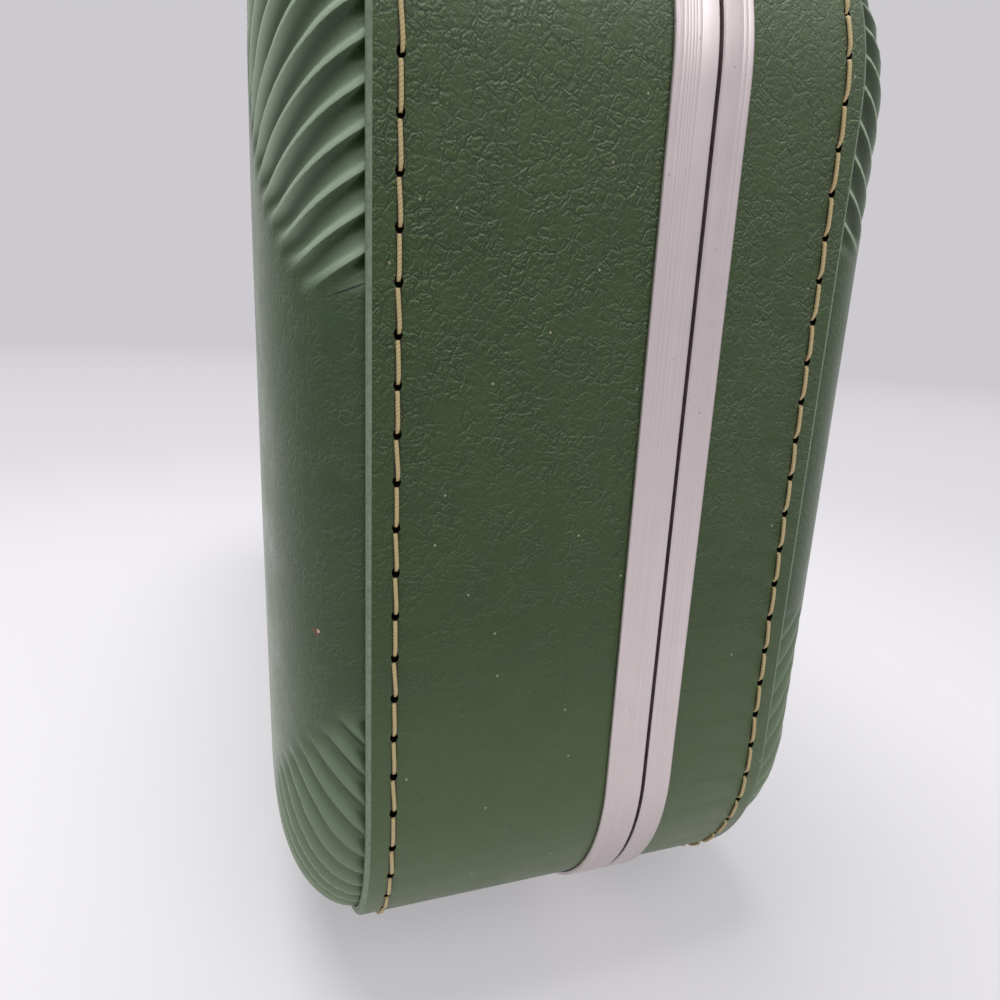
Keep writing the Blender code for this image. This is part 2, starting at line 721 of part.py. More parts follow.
def latch(label, out, lid_parent):
    """One latch; u runs outwards along the case from the latch's middle."""
    middle = out * latch_x
    plate_z = top_z + plate_top

    def span(low_u, high_u):
        return sorted((middle + out * low_u, middle + out * high_u))

    low, high = span(-plate_length / 2, plate_length / 2)
    profile = stepped_plate(1, body_plate_reach, body_rail_width)
    plate = add_piece(f"latch_{label}_plate", prism(profile, low, high), nickel_plate)
    near_y = case_y(1, half_gap + body_rail_width / 2)
    far_y = case_y(1, body_plate_reach - rivet_inset)
    edge_u = plate_length / 2 - rivet_inset
    places = ((edge_u, near_y), (edge_u, far_y), (-edge_u, near_y), (rivet_inset, near_y))
    rivet(plate, [(middle + out * u, y, plate_z) for u, y in places], (0, 0, 1))

    # Housing: an upturned tray with one slot for the button and one for the nose
    case_low, case_high = span(case_u - latch_case_length / 2, case_u + latch_case_length / 2)
    front = case_y(1, latch_case_front)
    back = front + latch_case_depth
    floor = plate_z + clearance
    roof = floor + latch_case_height
    housing = add_piece(f"latch_{label}_case", box((case_low, front, floor), (case_high, back, roof)),
                        nickel_plate)
    wall = latch_case_wall
    drill(housing, box((case_low + wall, front + wall, floor - cutter_overrun),
                       (case_high - wall, back - wall, roof - wall)))
    bar_start = case_u - latch_case_length / 2 + wall + slide_travel + clearance
    bar_end = bar_start + slide_length
    bar_u = (bar_start + bar_end) / 2
    button_y = (front + back) / 2
    low, high = span(bar_u - button_length / 2 - clearance,
                     bar_u + button_length / 2 + slide_travel + clearance)
    drill(housing, box((low, button_y - button_width / 2 - clearance, roof - wall * 2),
                       (high, button_y + button_width / 2 + clearance, roof + cutter_overrun)))
    low, high = span(bar_u - nose_length / 2 - clearance,
                     bar_u + nose_length / 2 + slide_travel + clearance)
    drill(housing, box((low, front - cutter_overrun, floor - cutter_overrun),
                       (high, front + wall * 2, floor + nose_height + clearance * 2)))

    # Slide: a bar with a thumb button, and a nose that runs under the hasp's lip
    slide_bottom = floor + clearance
    slide_top = slide_bottom + slide_bar_height
    low, high = span(bar_start, bar_end)
    bar_front, bar_back = front + wall + clearance, back - wall - clearance
    slide = add_piece(f"latch_{label}_slide",
                      box((low, bar_front, slide_bottom), (high, bar_back, slide_top)), nickel_plate,
                      (middle + out * bar_u, button_y, slide_bottom))
    button_low, button_high = button_y - button_width / 2, button_y + button_width / 2
    taper = button_width * button_taper_share
    low, high = span(bar_u - button_length / 2, bar_u + button_length / 2)
    join(slide, prism([(button_low, slide_top - wall), (button_high, slide_top - wall),
                       (button_high, roof + button_rise - taper), (button_high - taper, roof + button_rise),
                       (button_low + taper, roof + button_rise), (button_low, roof + button_rise - taper)],
                      low, high))
    low, high = span(bar_u - nose_length / 2, bar_u + nose_length / 2)
    join(slide, box((low, front - nose_reach, slide_bottom),
                    (high, bar_front + wall, slide_bottom + nose_height)))

    # Return spring, stretched between the housing's end and the slide
    ends = (bar_start - slide_travel + spring_wire, bar_start - clearance - spring_wire)
    spring_z = slide_bottom + slide_bar_height / 2
    coil_spring(f"latch_{label}_spring", *(Vector((middle + out * u, button_y, spring_z)) for u in ends),
                spring_radius, spring_wire, spring_turns)

    # Key cylinder beside the housing
    key_x = middle + out * cylinder_u
    key_top = floor + cylinder_height
    key = add_piece(f"latch_{label}_key_cylinder",
                    rod((key_x, button_y, floor), (key_x, button_y, key_top), cylinder_radius,
                        cylinder_steps), brass_lock, (key_x, button_y, floor))
    drill(key, box((key_x - key_slot_width / 2, button_y - key_slot_length / 2, key_top - key_slot_depth),
                   (key_x + key_slot_width / 2, button_y + key_slot_length / 2,
                    key_top + cutter_overrun)))

    # Lid's plate with two ears, and the hasp that turns between them
    hasp_x = middle + out * bar_u
    pin_y = case_y(-1, hasp_pin_y)
    low, high = hasp_x - lid_plate_length / 2, hasp_x + lid_plate_length / 2
    hasp_low, hasp_high = hasp_x - hasp_width / 2, hasp_x + hasp_width / 2
    keeper = add_piece(f"latch_{label}_lid_plate",
                       prism(stepped_plate(-1, lid_plate_reach, lid_rail_width), low, high),
                       nickel_plate, parent=lid_parent)
    ear_foot = plate_z - plate_thickness / 2
    ear_profile = arc((pin_y, hasp_axis_z), barrel_radius, 0, 180, round_steps // 2)
    ear_profile += [(pin_y - barrel_radius, ear_foot), (pin_y + barrel_radius, ear_foot)]
    ears = prism(ear_profile, low, hasp_low - clearance)
    add_prism(ears, ear_profile, hasp_high + clearance, high)
    join(keeper, ears)
    pin_ends = ((low, pin_y, hasp_axis_z), (high, pin_y, hasp_axis_z))
    bore_ends = ((low - cutter_overrun, pin_y, hasp_axis_z), (high + cutter_overrun, pin_y, hasp_axis_z))
    drill(keeper, rod(*bore_ends, hasp_pin_radius + clearance))
    spread = (hasp_width + lid_plate_length) / 4
    rows = (half_gap + lid_rail_width / 2, half_gap + lid_rail_width + rivet_radius)
    rivet(keeper, [(hasp_x + step * spread, case_y(-1, row), plate_z) for step in (-1, 1)
                   for row in rows], (0, 0, 1))
    hasp = add_piece(f"latch_{label}_hasp", prism(hasp_profile(pin_y), hasp_low, hasp_high),
                     nickel_plate, (hasp_x, pin_y, hasp_axis_z), lid_parent)
    drill(hasp, rod(*bore_ends, hasp_pin_radius + clearance))
    add_piece(f"latch_{label}_hasp_pin", rod(*pin_ends, hasp_pin_radius), steel_pin, parent=lid_parent)


def handle(axis):
    """A vinyl grip between two steel eyes that turn on pins in riveted brackets."""
    pin_z = handle_axis_z
    y = case_y(1, handle_y)
    grip = bpy.data.curves.new("handle_grip", "CURVE")
    grip.dimensions = "3D"
    grip.bevel_depth = grip_radius
    grip.bevel_resolution = 2
    grip.use_fill_caps = True
    grip.render_resolution_u = 0
    bend_x, bend_y = handle_half_span - grip_bend, handle_reach - grip_bend
    half = [(-handle_half_span, grip_start)]
    for i in range(grip_bend_steps + 1):
        angle = math.radians(180 - 90 * i / grip_bend_steps)
        half.append((-bend_x + grip_bend * math.cos(angle), bend_y + grip_bend * math.sin(angle)))
    path = half + [(-across, along) for across, along in reversed(half)]
    spline = grip.splines.new("POLY")
    spline.points.add(len(path) - 1)
    for point, (across, along) in zip(spline.points, path):
        point.co = (across, along, 0, 1)
    grip.materials.append(grip_vinyl)
    grip_piece = bpy.data.objects.new("handle_grip", grip)
    bpy.context.collection.objects.link(grip_piece)
    grip_piece.parent = axis

    for label, out in (("left", -1), ("right", 1)):
        x = out * handle_half_span
        rise = math.degrees(math.asin(shank_half_height / eye_radius))
        profile = arc((y, pin_z), eye_radius, rise, 360 - rise, round_steps)
        shank_end = y + grip_start - clearance
        profile += [(shank_end, pin_z - shank_half_height), (shank_end, pin_z + shank_half_height)]
        eye = add_piece(f"handle_eye_{label}", prism(profile, x - eye_width / 2, x + eye_width / 2),
                        nickel_plate, parent=axis)
        inner = eye_width / 2 + side_gap
        outer = inner + ear_wall
        flange = outer + bracket_flange
        bore = ((x - flange, y, pin_z), (x + flange, y, pin_z))
        drill(eye, rod(*bore, handle_pin_radius + clearance))
        base = top_z + clearance
        shelf = base + bracket_base
        ear_top = pin_z + bracket_rise
        outline_xz = [(-flange, base), (flange, base), (flange, shelf), (outer, shelf), (outer, ear_top),
                      (inner, ear_top), (inner, shelf), (-inner, shelf), (-inner, ear_top),
                      (-outer, ear_top), (-outer, shelf), (-flange, shelf)]
        bracket = bmesh.new()
        face = bracket.faces.new([bracket.verts.new((x + across, y - bracket_depth / 2, z))
                                  for across, z in outline_xz])
        grown = bmesh.ops.extrude_face_region(bracket, geom=[face])
        moved = [v for v in grown["geom"] if isinstance(v, bmesh.types.BMVert)]
        bmesh.ops.translate(bracket, vec=(0, bracket_depth, 0), verts=moved)
        piece = add_piece(f"handle_bracket_{label}", bracket, nickel_plate)
        drill(piece, rod(*bore, handle_pin_radius + clearance))
        rivet(piece, [(x + step * (outer + flange) / 2, y, shelf) for step in (-1, 1)], (0, 0, 1))
        add_piece(f"handle_pin_{label}", rod((x - outer, y, pin_z), (x + outer, y, pin_z),
                                             handle_pin_radius), steel_pin)


def foot(name, x, y, parent=None):
    """A turned stud with a flat toe and a flange against the band."""
    top = foot_height - clearance
    profile = [(0, 0), (foot_toe_radius - foot_round, 0), (foot_toe_radius, foot_round),
               (foot_toe_radius, top - foot_skirt), (foot_radius, top - foot_skirt + foot_round),
               (foot_radius, top), (0, top)]
    bm = bmesh.new()
    verts = [bm.verts.new((x + radius, y, z)) for radius, z in profile]
    edges = [bm.edges.new(pair) for pair in zip(verts, verts[1:])]
    bmesh.ops.spin(bm, geom=verts + edges, cent=(x, y, 0), axis=(0, 0, 1), angle=math.tau,
                   steps=round_steps, use_merge=True)
    bmesh.ops.remove_doubles(bm, verts=bm.verts[:], dist=weld_distance)
    add_piece(name, bm, foot_nickel, parent=parent)


def pocket(parent):
    """A cloth pouch on the lid's lining, with an elastic hem along its mouth."""
    back = lid_depth + lid_bulge - panel_wall - clearance - lining_wall - clearance
    half = case_length / 2 - pocket_end_inset
    low_z = bottom_z + pocket_drop
    mouth = top_z - pocket_top_inset
    add_piece("lid_pocket", box((-half, case_y(-1, back), low_z),
                                (half, case_y(-1, back - pocket_depth), mouth)),
              pocket_cloth, parent=parent)
    add_piece("lid_pocket_elastic", box((-half, case_y(-1, back), mouth + clearance),
                                        (half, case_y(-1, back - elastic_depth),
                                         mouth + clearance + elastic_height)),
              elastic_tape, parent=parent)


def packing_strap(label, x):
    """A webbing strap across the floor of the body, with a buckle and an anchor tab at each end."""
    floor = body_depth + body_bulge - panel_wall - clearance - lining_wall - clearance

    def slab(half_width, near, far, low_z, high_z):
        return (x - half_width, case_y(1, near), low_z), (x + half_width, case_y(1, far), high_z)

    strap_face = floor - strap_thickness
    add_piece(f"packing_strap_{label}",
              box(*slab(strap_width / 2, strap_face, floor, centre_z - strap_half_length,
                        centre_z + strap_half_length)), strap_web)
    for end, up in (("lower", -1), ("upper", 1)):
        near_z = centre_z + up * (strap_half_length + clearance)
        ends = sorted((near_z, near_z + up * anchor_height))
        add_piece(f"packing_anchor_{label}_{end}",
                  box(*slab(anchor_width / 2, floor - anchor_thickness, floor, *ends)), nickel_plate)
    buckle_back = strap_face - clearance
    buckle = add_piece(f"packing_buckle_{label}",
                       box(*slab(buckle_length / 2, buckle_back - buckle_thickness, buckle_back,
                                 centre_z - buckle_height / 2, centre_z + buckle_height / 2)),
                       nickel_plate)
    for up in (1, -1):
        ends = sorted((centre_z + up * buckle_wall / 2, centre_z + up * (buckle_height / 2 - buckle_wall)))
        drill(buckle, box(*slab(buckle_length / 2 - buckle_wall,
                                buckle_back - buckle_thickness - cutter_overrun,
                                buckle_back + cutter_overrun, *ends)))


lid = add_axis("lid_hinge_axis", lid_axis)
handle_axis = add_axis("handle_axis", Vector((0, case_y(1, handle_y), handle_axis_z)))

# Body half
panel("body_panel", 1, body_depth, body_bulge, body_rim_reach,
      Ribs(rib_angle_top, rib_pitch_top, body_rib_reach_top, body_rib_drop_top,
           body_rib_shift_shares[0]),
      Ribs(rib_angle_bottom, rib_pitch_bottom, body_rib_reach_bottom, body_rib_drop_bottom,
           body_rib_shift_shares[1]), None)
band("body_band", 1, body_depth, None)
frame_ring("body_frame", 1, body_depth, body_frame_wall, None)
add_piece("body_rail", ring(body_rail_section(), 1), rail_aluminium)
seam_thread("body_seam_thread", 1, body_depth - body_seam_inset, None)
lining("body_lining", 1, body_depth, body_bulge, body_rim_reach, body_lining_start, None)
packing_strap("left", -strap_x)
packing_strap("right", strap_x)

# Lid half
panel("lid_panel", -1, lid_depth, lid_bulge, lid_rim_reach,
      Ribs(rib_angle_top, rib_pitch_top, lid_rib_reach_top, lid_rib_drop_top,
           lid_rib_shift_shares[0]),
      Ribs(rib_angle_bottom, rib_pitch_bottom, lid_rib_reach_bottom, lid_rib_drop_bottom,
           lid_rib_shift_shares[1]), lid)
band("lid_band", -1, lid_depth, lid)
frame_ring("lid_frame", -1, lid_depth, lid_frame_wall, lid)
add_piece("lid_rail", ring(lid_rail_section(), -1), rail_aluminium, parent=lid)
seam_thread("lid_seam_thread", -1, lid_depth - lid_seam_inset, lid)
lining("lid_lining", -1, lid_depth, lid_bulge, lid_rim_reach, lid_lining_start, lid)
pocket(lid)

# Hinges
hinge("left", -hinge_x, lid)
hinge("right", hinge_x, lid)

# Latches
latch("left", -1, lid)
latch("right", 1, lid)

# Handle
handle(handle_axis)

# Feet
for label, out in (("left", -1), ("right", 1)):
    foot(f"foot_body_{label}", out * foot_x, case_y(1, body_foot_y))
    foot(f"foot_lid_{label}", out * foot_x, case_y(-1, lid_foot_y), lid)
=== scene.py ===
"""Looks for a small hard-shell suitcase with domed green vinyl panels, sewn bands and metal rails.

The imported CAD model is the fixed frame. Lengths are in metres, +Z is up, the deep half of the case
faces +Y and the shallow half, the lid, faces -Y. Sections follow the case as it is put together.
"""
import math
from bisect import bisect_left

import bmesh
import bpy
from mathutils import Matrix, Vector


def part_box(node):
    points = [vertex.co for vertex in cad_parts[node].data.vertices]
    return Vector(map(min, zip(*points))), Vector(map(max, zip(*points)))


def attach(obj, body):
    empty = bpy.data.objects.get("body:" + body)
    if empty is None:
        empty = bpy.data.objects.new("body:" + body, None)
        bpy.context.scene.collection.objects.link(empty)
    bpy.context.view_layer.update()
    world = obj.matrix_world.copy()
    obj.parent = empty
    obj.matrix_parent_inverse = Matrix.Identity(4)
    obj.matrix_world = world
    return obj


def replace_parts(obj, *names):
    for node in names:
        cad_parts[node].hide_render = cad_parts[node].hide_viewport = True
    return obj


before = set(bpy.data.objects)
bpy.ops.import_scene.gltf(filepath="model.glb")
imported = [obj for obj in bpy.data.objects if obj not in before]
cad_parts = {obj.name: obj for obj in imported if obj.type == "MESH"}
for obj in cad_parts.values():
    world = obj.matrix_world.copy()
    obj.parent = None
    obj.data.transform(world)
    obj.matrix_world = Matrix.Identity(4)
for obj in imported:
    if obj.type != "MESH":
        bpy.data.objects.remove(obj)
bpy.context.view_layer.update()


# Camera
# A close view of the case's narrow end, from a little above its middle and beside its deep half.
scene = bpy.context.scene
scene.view_settings.view_transform = "Standard"
mm = 0.001
yaw, pitch, roll = -0.33256, 0.24548, 0.04677
camera_spot = Vector((-356.99, 79.9, 184.62)) * mm
lens_data = bpy.data.cameras.new("camera")
lens_data.sensor_width = 36
lens_data.lens = 25.776
lens_data.clip_start = 0.01
camera = bpy.data.objects.new("camera", lens_data)
scene.collection.objects.link(camera)
aim = Vector((math.cos(pitch) * math.cos(yaw), math.cos(pitch) * math.sin(yaw), -math.sin(pitch)))
level = Vector((math.sin(yaw), -math.cos(yaw), 0))
upright = level.cross(aim)
right = math.cos(roll) * level + math.sin(roll) * upright
up = -math.sin(roll) * level + math.cos(roll) * upright
turn = Matrix((right, up, -aim)).transposed().to_4x4()
camera.matrix_world = Matrix.Translation(camera_spot) @ turn
scene.camera = camera


# Studio
# A pale paper floor that runs on into an even pale background. A wide soft lamp hangs above the
# case, and a weak one stands beyond its narrow end.
def linear(hex_colour):
    """An sRGB hex value as linear red, green, blue and alpha."""
    channels = [int(hex_colour[i:i + 2], 16) / 255 for i in (0, 2, 4)]
    return (*[c / 12.92 if c <= 0.04045 else ((c + 0.055) / 1.055) ** 2.4 for c in channels], 1)


def add_node(tree, kind, inputs=None, **settings):
    """Add one shader node: settings are its properties, inputs are values or the outputs to link."""
    made = tree.nodes.new(kind)
    for name, value in settings.items():
        setattr(made, name, value)
    for socket, value in (inputs or {}).items():
        if isinstance(value, bpy.types.NodeSocket):
            tree.links.new(value, made.inputs[socket])
        else:
            made.inputs[socket].default_value = value
    return made


sky, ground = linear("CDCACF"), linear("E0DDE2")
world = bpy.data.worlds.new("studio")
world.use_nodes = True
world.node_tree.nodes.clear()
rays = add_node(world.node_tree, "ShaderNodeLightPath")
seen = add_node(world.node_tree, "ShaderNodeMath",
                {0: rays.outputs["Is Camera Ray"], 1: rays.outputs["Is Glossy Ray"]}, operation="ADD")
seen = add_node(world.node_tree, "ShaderNodeMath",
                {0: seen.outputs[0], 1: rays.outputs["Is Transmission Ray"]}, operation="ADD",
                use_clamp=True)
room = add_node(world.node_tree, "ShaderNodeBackground", {"Color": linear("F4F5F8"), "Strength": 0.4})
backdrop = add_node(world.node_tree, "ShaderNodeBackground", {"Color": sky, "Strength": 1.0})
either = add_node(world.node_tree, "ShaderNodeMixShader",
                  {0: seen.outputs[0], 1: room.outputs[0], 2: backdrop.outputs[0]})
add_node(world.node_tree, "ShaderNodeOutputWorld", {"Surface": either.outputs[0]})
scene.world = world

floor_paper = bpy.data.materials.new("studio_paper")
floor_paper.use_nodes = True
tree = floor_paper.node_tree
tree.nodes.clear()
place = add_node(tree, "ShaderNodeNewGeometry")
away = add_node(tree, "ShaderNodeVectorMath", {0: place.outputs["Position"]}, operation="LENGTH")
near = add_node(tree, "ShaderNodeMapRange",
                {"Value": away.outputs["Value"], "From Min": 0.2, "From Max": 1.0,
                 "To Min": 0.5, "To Max": 1.0}, interpolation_type="SMOOTHSTEP")
far = add_node(tree, "ShaderNodeMapRange",
               {"Value": away.outputs["Value"], "From Min": 0.8, "From Max": 3.5})
tone = add_node(tree, "ShaderNodeMix", {"Factor": far.outputs[0], 6: ground, 7: sky}, data_type="RGBA")
matt = add_node(tree, "ShaderNodeBsdfDiffuse", {"Color": linear("ECEAED")})
plain = add_node(tree, "ShaderNodeEmission", {"Color": tone.outputs[2], "Strength": 1.0})
rays = add_node(tree, "ShaderNodeLightPath")
seen = add_node(tree, "ShaderNodeMath",
                {0: rays.outputs["Is Camera Ray"], 1: rays.outputs["Is Glossy Ray"]}, operation="MAXIMUM")
share = add_node(tree, "ShaderNodeMath", {0: near.outputs[0], 1: seen.outputs[0]}, operation="MULTIPLY")
either = add_node(tree, "ShaderNodeMixShader",
                  {0: share.outputs[0], 1: matt.outputs[0], 2: plain.outputs[0]})
add_node(tree, "ShaderNodeOutputMaterial", {"Surface": either.outputs[0]})
floor_radius = 6
bm = bmesh.new()
bmesh.ops.create_circle(bm, cap_ends=True, segments=64, radius=floor_radius)
floor_mesh = bpy.data.meshes.new("studio_floor")
bm.to_mesh(floor_mesh)
bm.free()
floor_mesh.materials.append(floor_paper)
studio_floor = bpy.data.objects.new("studio_floor", floor_mesh)
scene.collection.objects.link(studio_floor)

lamp_aim = Vector((0, 0, 0.15))
for name, place, size, power in (("top_light", (0.05, 0.14, 1.25), 0.9, 15.5),
                                 ("end_light", (-0.8, -0.12, 0.95), 0.7, 2.6)):
    lamp_data = bpy.data.lights.new(name, "AREA")
    lamp_data.shape = "DISK"
    lamp_data.size = size
    lamp_data.energy = power
    lamp = bpy.data.objects.new(name, lamp_data)
    lamp.location = place
    lamp.rotation_euler = (lamp_aim - Vector(place)).to_track_quat("-Z", "Y").to_euler()
    scene.collection.objects.link(lamp)


# Plywood frames
# Bent birch plywood hoops that stiffen both bands and carry the rails; only their edges ever show.
case_length, case_height, corner_radius = 420 * mm, 288 * mm, 60 * mm
# Half lengths of the outline's straight runs, between its round corners.
run_x, run_z = case_length / 2 - corner_radius, case_height / 2 - corner_radius
foot_height = 7 * mm
body_depth, lid_depth = 72.9 * mm, 39.1 * mm
parting_y = -15.15 * mm
centre_z = foot_height + case_height / 2
wall_gap = 0.3 * mm
band_wall = 2.2 * mm
band_start = 2 * mm
flange_inset = band_wall + wall_gap
panel_flange = 14 * mm
coarse_step = 6 * mm


def case_y(side, depth):
    """World y of a depth from the middle of the parting gap; side is 1 on the body, -1 on the lid."""
    return parting_y + side * depth


def sweep_round(section, side, closed=True, step=coarse_step, turn_steps=24, plain=0):
    """Carry an (inset, depth) section round a quarter of the case and mirror it to the other three.

    It starts in the middle of the top, which keeps the coarse step along the plain length.
    """
    bm = bmesh.new()
    verts = [bm.verts.new((0, case_y(side, depth), case_height / 2 - inset)) for inset, depth in section]
    ends = verts[1:] + verts[:1] if closed else verts[1:]
    geom = verts + [bm.edges.new(pair) for pair in zip(verts, ends)]
    for leg in ((-plain, 0, coarse_step), (plain - run_x, 0, step), (-run_x, run_z), (0, -run_z, step)):
        if len(leg) == 2:
            geom = bmesh.ops.spin(bm, geom=geom, cent=(leg[0], 0, leg[1]), axis=(0, 1, 0),
                                  angle=math.radians(-90), steps=turn_steps)["geom_last"]
        elif leg[0] or leg[1]:
            steps = max(round(abs(leg[0] + leg[1]) / leg[2]), 1)
            geom = bmesh.ops.spin(bm, geom=geom, cent=(0, 0, 0), axis=(0, 1, 0), angle=0, steps=steps,
                                  dvec=(leg[0] / steps, 0, leg[1] / steps))["geom_last"]
    for axis in ("Z", "X"):
        bmesh.ops.mirror(bm, geom=bm.verts[:] + bm.edges[:] + bm.faces[:], merge_dist=1e-5, axis=axis)
    bmesh.ops.translate(bm, verts=bm.verts[:], vec=(0, 0, centre_z))
    bmesh.ops.recalc_face_normals(bm, faces=bm.faces[:])
    return bm


def round_place(x, z):
    """Distance round the case from the corner below its -X end, and the outward direction."""
    up = z - centre_z
    over_x, over_z = abs(x) - run_x, abs(up) - run_z
    if over_x > 0 and over_z > 0:
        outward = Vector((math.copysign(over_x, x), 0, math.copysign(over_z, up))).normalized()
        turned = math.atan2(over_z, over_x) * corner_radius
    elif over_x > over_z:
        outward = Vector((math.copysign(1, x), 0, 0))
        turned = 0.0
    else:
        outward = Vector((0, 0, math.copysign(1, up)))
        turned = math.radians(90) * corner_radius
    quarter = math.radians(90) * corner_radius
    if x <= 0 and up > run_z:
        length = 2 * run_z + turned + (0 if over_x > 0 else -over_x)
    elif x <= 0 and up < -run_z:
        length = -turned - (0 if over_x > 0 else -over_x)
    elif x <= 0:
        length = up + run_z
    elif up > run_z:
        length = 2 * run_z + quarter + 2 * run_x + (quarter - turned) + (0 if over_x > 0 else over_x)
    elif up < -run_z:
        length = -quarter - 2 * run_x - (quarter - turned) + (0 if over_x > 0 else -over_x)
    else:
        length = 2 * run_z + 2 * quarter + 2 * run_x + (run_z - up)
    return length, outward


def add_piece(name, bm, mat, body, smooth=40):
    """Link a finished bmesh as a piece of the case that rides on a CAD body."""
    mesh = bpy.data.meshes.new(name)
    bm.to_mesh(mesh)
    bm.free()
    mesh.materials.append(mat)
    mesh.shade_smooth()
    mesh.set_sharp_from_angle(angle=math.radians(smooth))
    piece = bpy.data.objects.new(name, mesh)
    scene.collection.objects.link(piece)
    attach(piece, body)
    return piece


def new_material(name, base, roughness, metallic=0.0, specular=0.5):
    """A Principled material with its node tree, its shader and its Object coordinates in mm."""
    mat = bpy.data.materials.new(name)
    mat.use_nodes = True
    shader = mat.node_tree.nodes["Principled BSDF"]
    shader.inputs["Base Color"].default_value = linear(base)
    shader.inputs["Roughness"].default_value = roughness
    shader.inputs["Metallic"].default_value = metallic
    shader.inputs["Specular IOR Level"].default_value = specular
    coords = add_node(mat.node_tree, "ShaderNodeTexCoord")
    in_mm = add_node(mat.node_tree, "ShaderNodeVectorMath",
                     {0: coords.outputs["Object"], 1: (1000, 1000, 1000)}, operation="MULTIPLY")
    return mat, mat.node_tree, shader, in_mm.outputs[0]


# The plies and the long grain of the birch show where the hoops' edges are bare.
birch_ply, tree, shader, at = new_material("birch_plywood", "C2A070", 0.6)
stretched = add_node(tree, "ShaderNodeMapping", {"Vector": at, "Scale": (0.05, 1.6, 0.05)})
grain = add_node(tree, "ShaderNodeTexNoise", {"Vector": stretched.outputs[0], "Scale": 1.0, "Detail": 4.0})
wood = add_node(tree, "ShaderNodeMix", {"Factor": grain.outputs[0], 6: linear("8F6E45"), 7: linear("D3B488")},
                data_type="RGBA")
tree.links.new(wood.outputs[2], shader.inputs["Base Color"])
bump = add_node(tree, "ShaderNodeBump", {"Height": grain.outputs[0], "Strength": 0.3, "Distance": 0.0002})
tree.links.new(bump.outputs[0], shader.inputs["Normal"])
for half, side, depth, wall, body in (("body", 1, body_depth, 3 * mm, "body_half"),
                                      ("lid", -1, lid_depth, 2 * mm, "lid")):
    frame_end = depth - panel_flange - wall_gap
    bm = sweep_round([(flange_inset, band_start), (flange_inset, frame_end),
                      (flange_inset + wall, frame_end), (flange_inset + wall, band_start)], side)
    hoop = add_piece(f"{half}_plywood_hoop", bm, birch_ply, body)
    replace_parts(hoop, f"{half}_frame")


# Bands
# Flat strips of pebbled green vinyl on thin fibreboard, wrapped round the frames; the skived edge
# towards the panel shows the paler green of the cut. An awl has opened a hole at every stitch.
bevel_reach, bevel_drop = 1.05 * mm, 0.9 * mm
bevel_round, bevel_shoulder = 0.3 * mm, 0.65 * mm
hole_size = (1.2 * mm, 0.95 * mm, 1.3 * mm, 1)
# Each seam: its inset from the panel, its number of stitches and the place of its first hole.
seams = {"body": (5.3 * mm, 129, -28.5 * mm), "lid": (4.7 * mm, 135, -24.9 * mm)}
round_length = 2 * (case_length + case_height) - 8 * corner_radius + 2 * math.pi * corner_radius


def round_point(length):
    """Point (x, z) and outward direction at a distance round the case."""
    quarter = math.radians(90) * corner_radius
    length = length % round_length
    for start_x, start_z, toward, turn_from in ((-1, -1, (0, 1), 180), (-1, 1, (1, 0), 90),
                                                (1, 1, (0, -1), 0), (1, -1, (-1, 0), 270)):
        run = 2 * (run_z if toward[0] == 0 else run_x)
        out = Vector((-toward[1], 0, toward[0]))
        if length <= run:
            base = Vector((start_x * run_x, 0, centre_z + start_z * run_z))
            return base + out * corner_radius + Vector((toward[0], 0, toward[1])) * length, out
        length -= run
        if length <= quarter:
            angle = math.radians(turn_from) - length / corner_radius
            corner_x = start_x * run_x + toward[0] * run
            corner_z = centre_z + start_z * run_z + toward[1] * run
            out = Vector((math.cos(angle), 0, math.sin(angle)))
            return Vector((corner_x, 0, corner_z)) + out * corner_radius, out
        length -= quarter
    return Vector((0, 0, 0)), Vector((0, 0, 1))


def wrap_uv(bm):
    """A UV layer of the distance round the case and the world y, in metres."""
    wrap = bm.loops.layers.uv.new("wrap")
    for face in bm.faces:
        places = [round_place(loop.vert.co.x, loop.vert.co.z)[0] for loop in face.loops]
        if max(places) - min(places) > round_length / 2:
            places = [place + round_length if place < 0 else place for place in places]
        for loop, place in zip(face.loops, places):
            loop[wrap].uv = (place, loop.vert.co.y)


def uv_in_mm(tree, name):
    """A named UV layer, which holds metres, as a vector in mm."""
    layer = add_node(tree, "ShaderNodeUVMap", uv_map=name)
    return add_node(tree, "ShaderNodeVectorMath",
                    {0: layer.outputs[0], 1: (1000, 1000, 1000)}, operation="MULTIPLY").outputs[0]


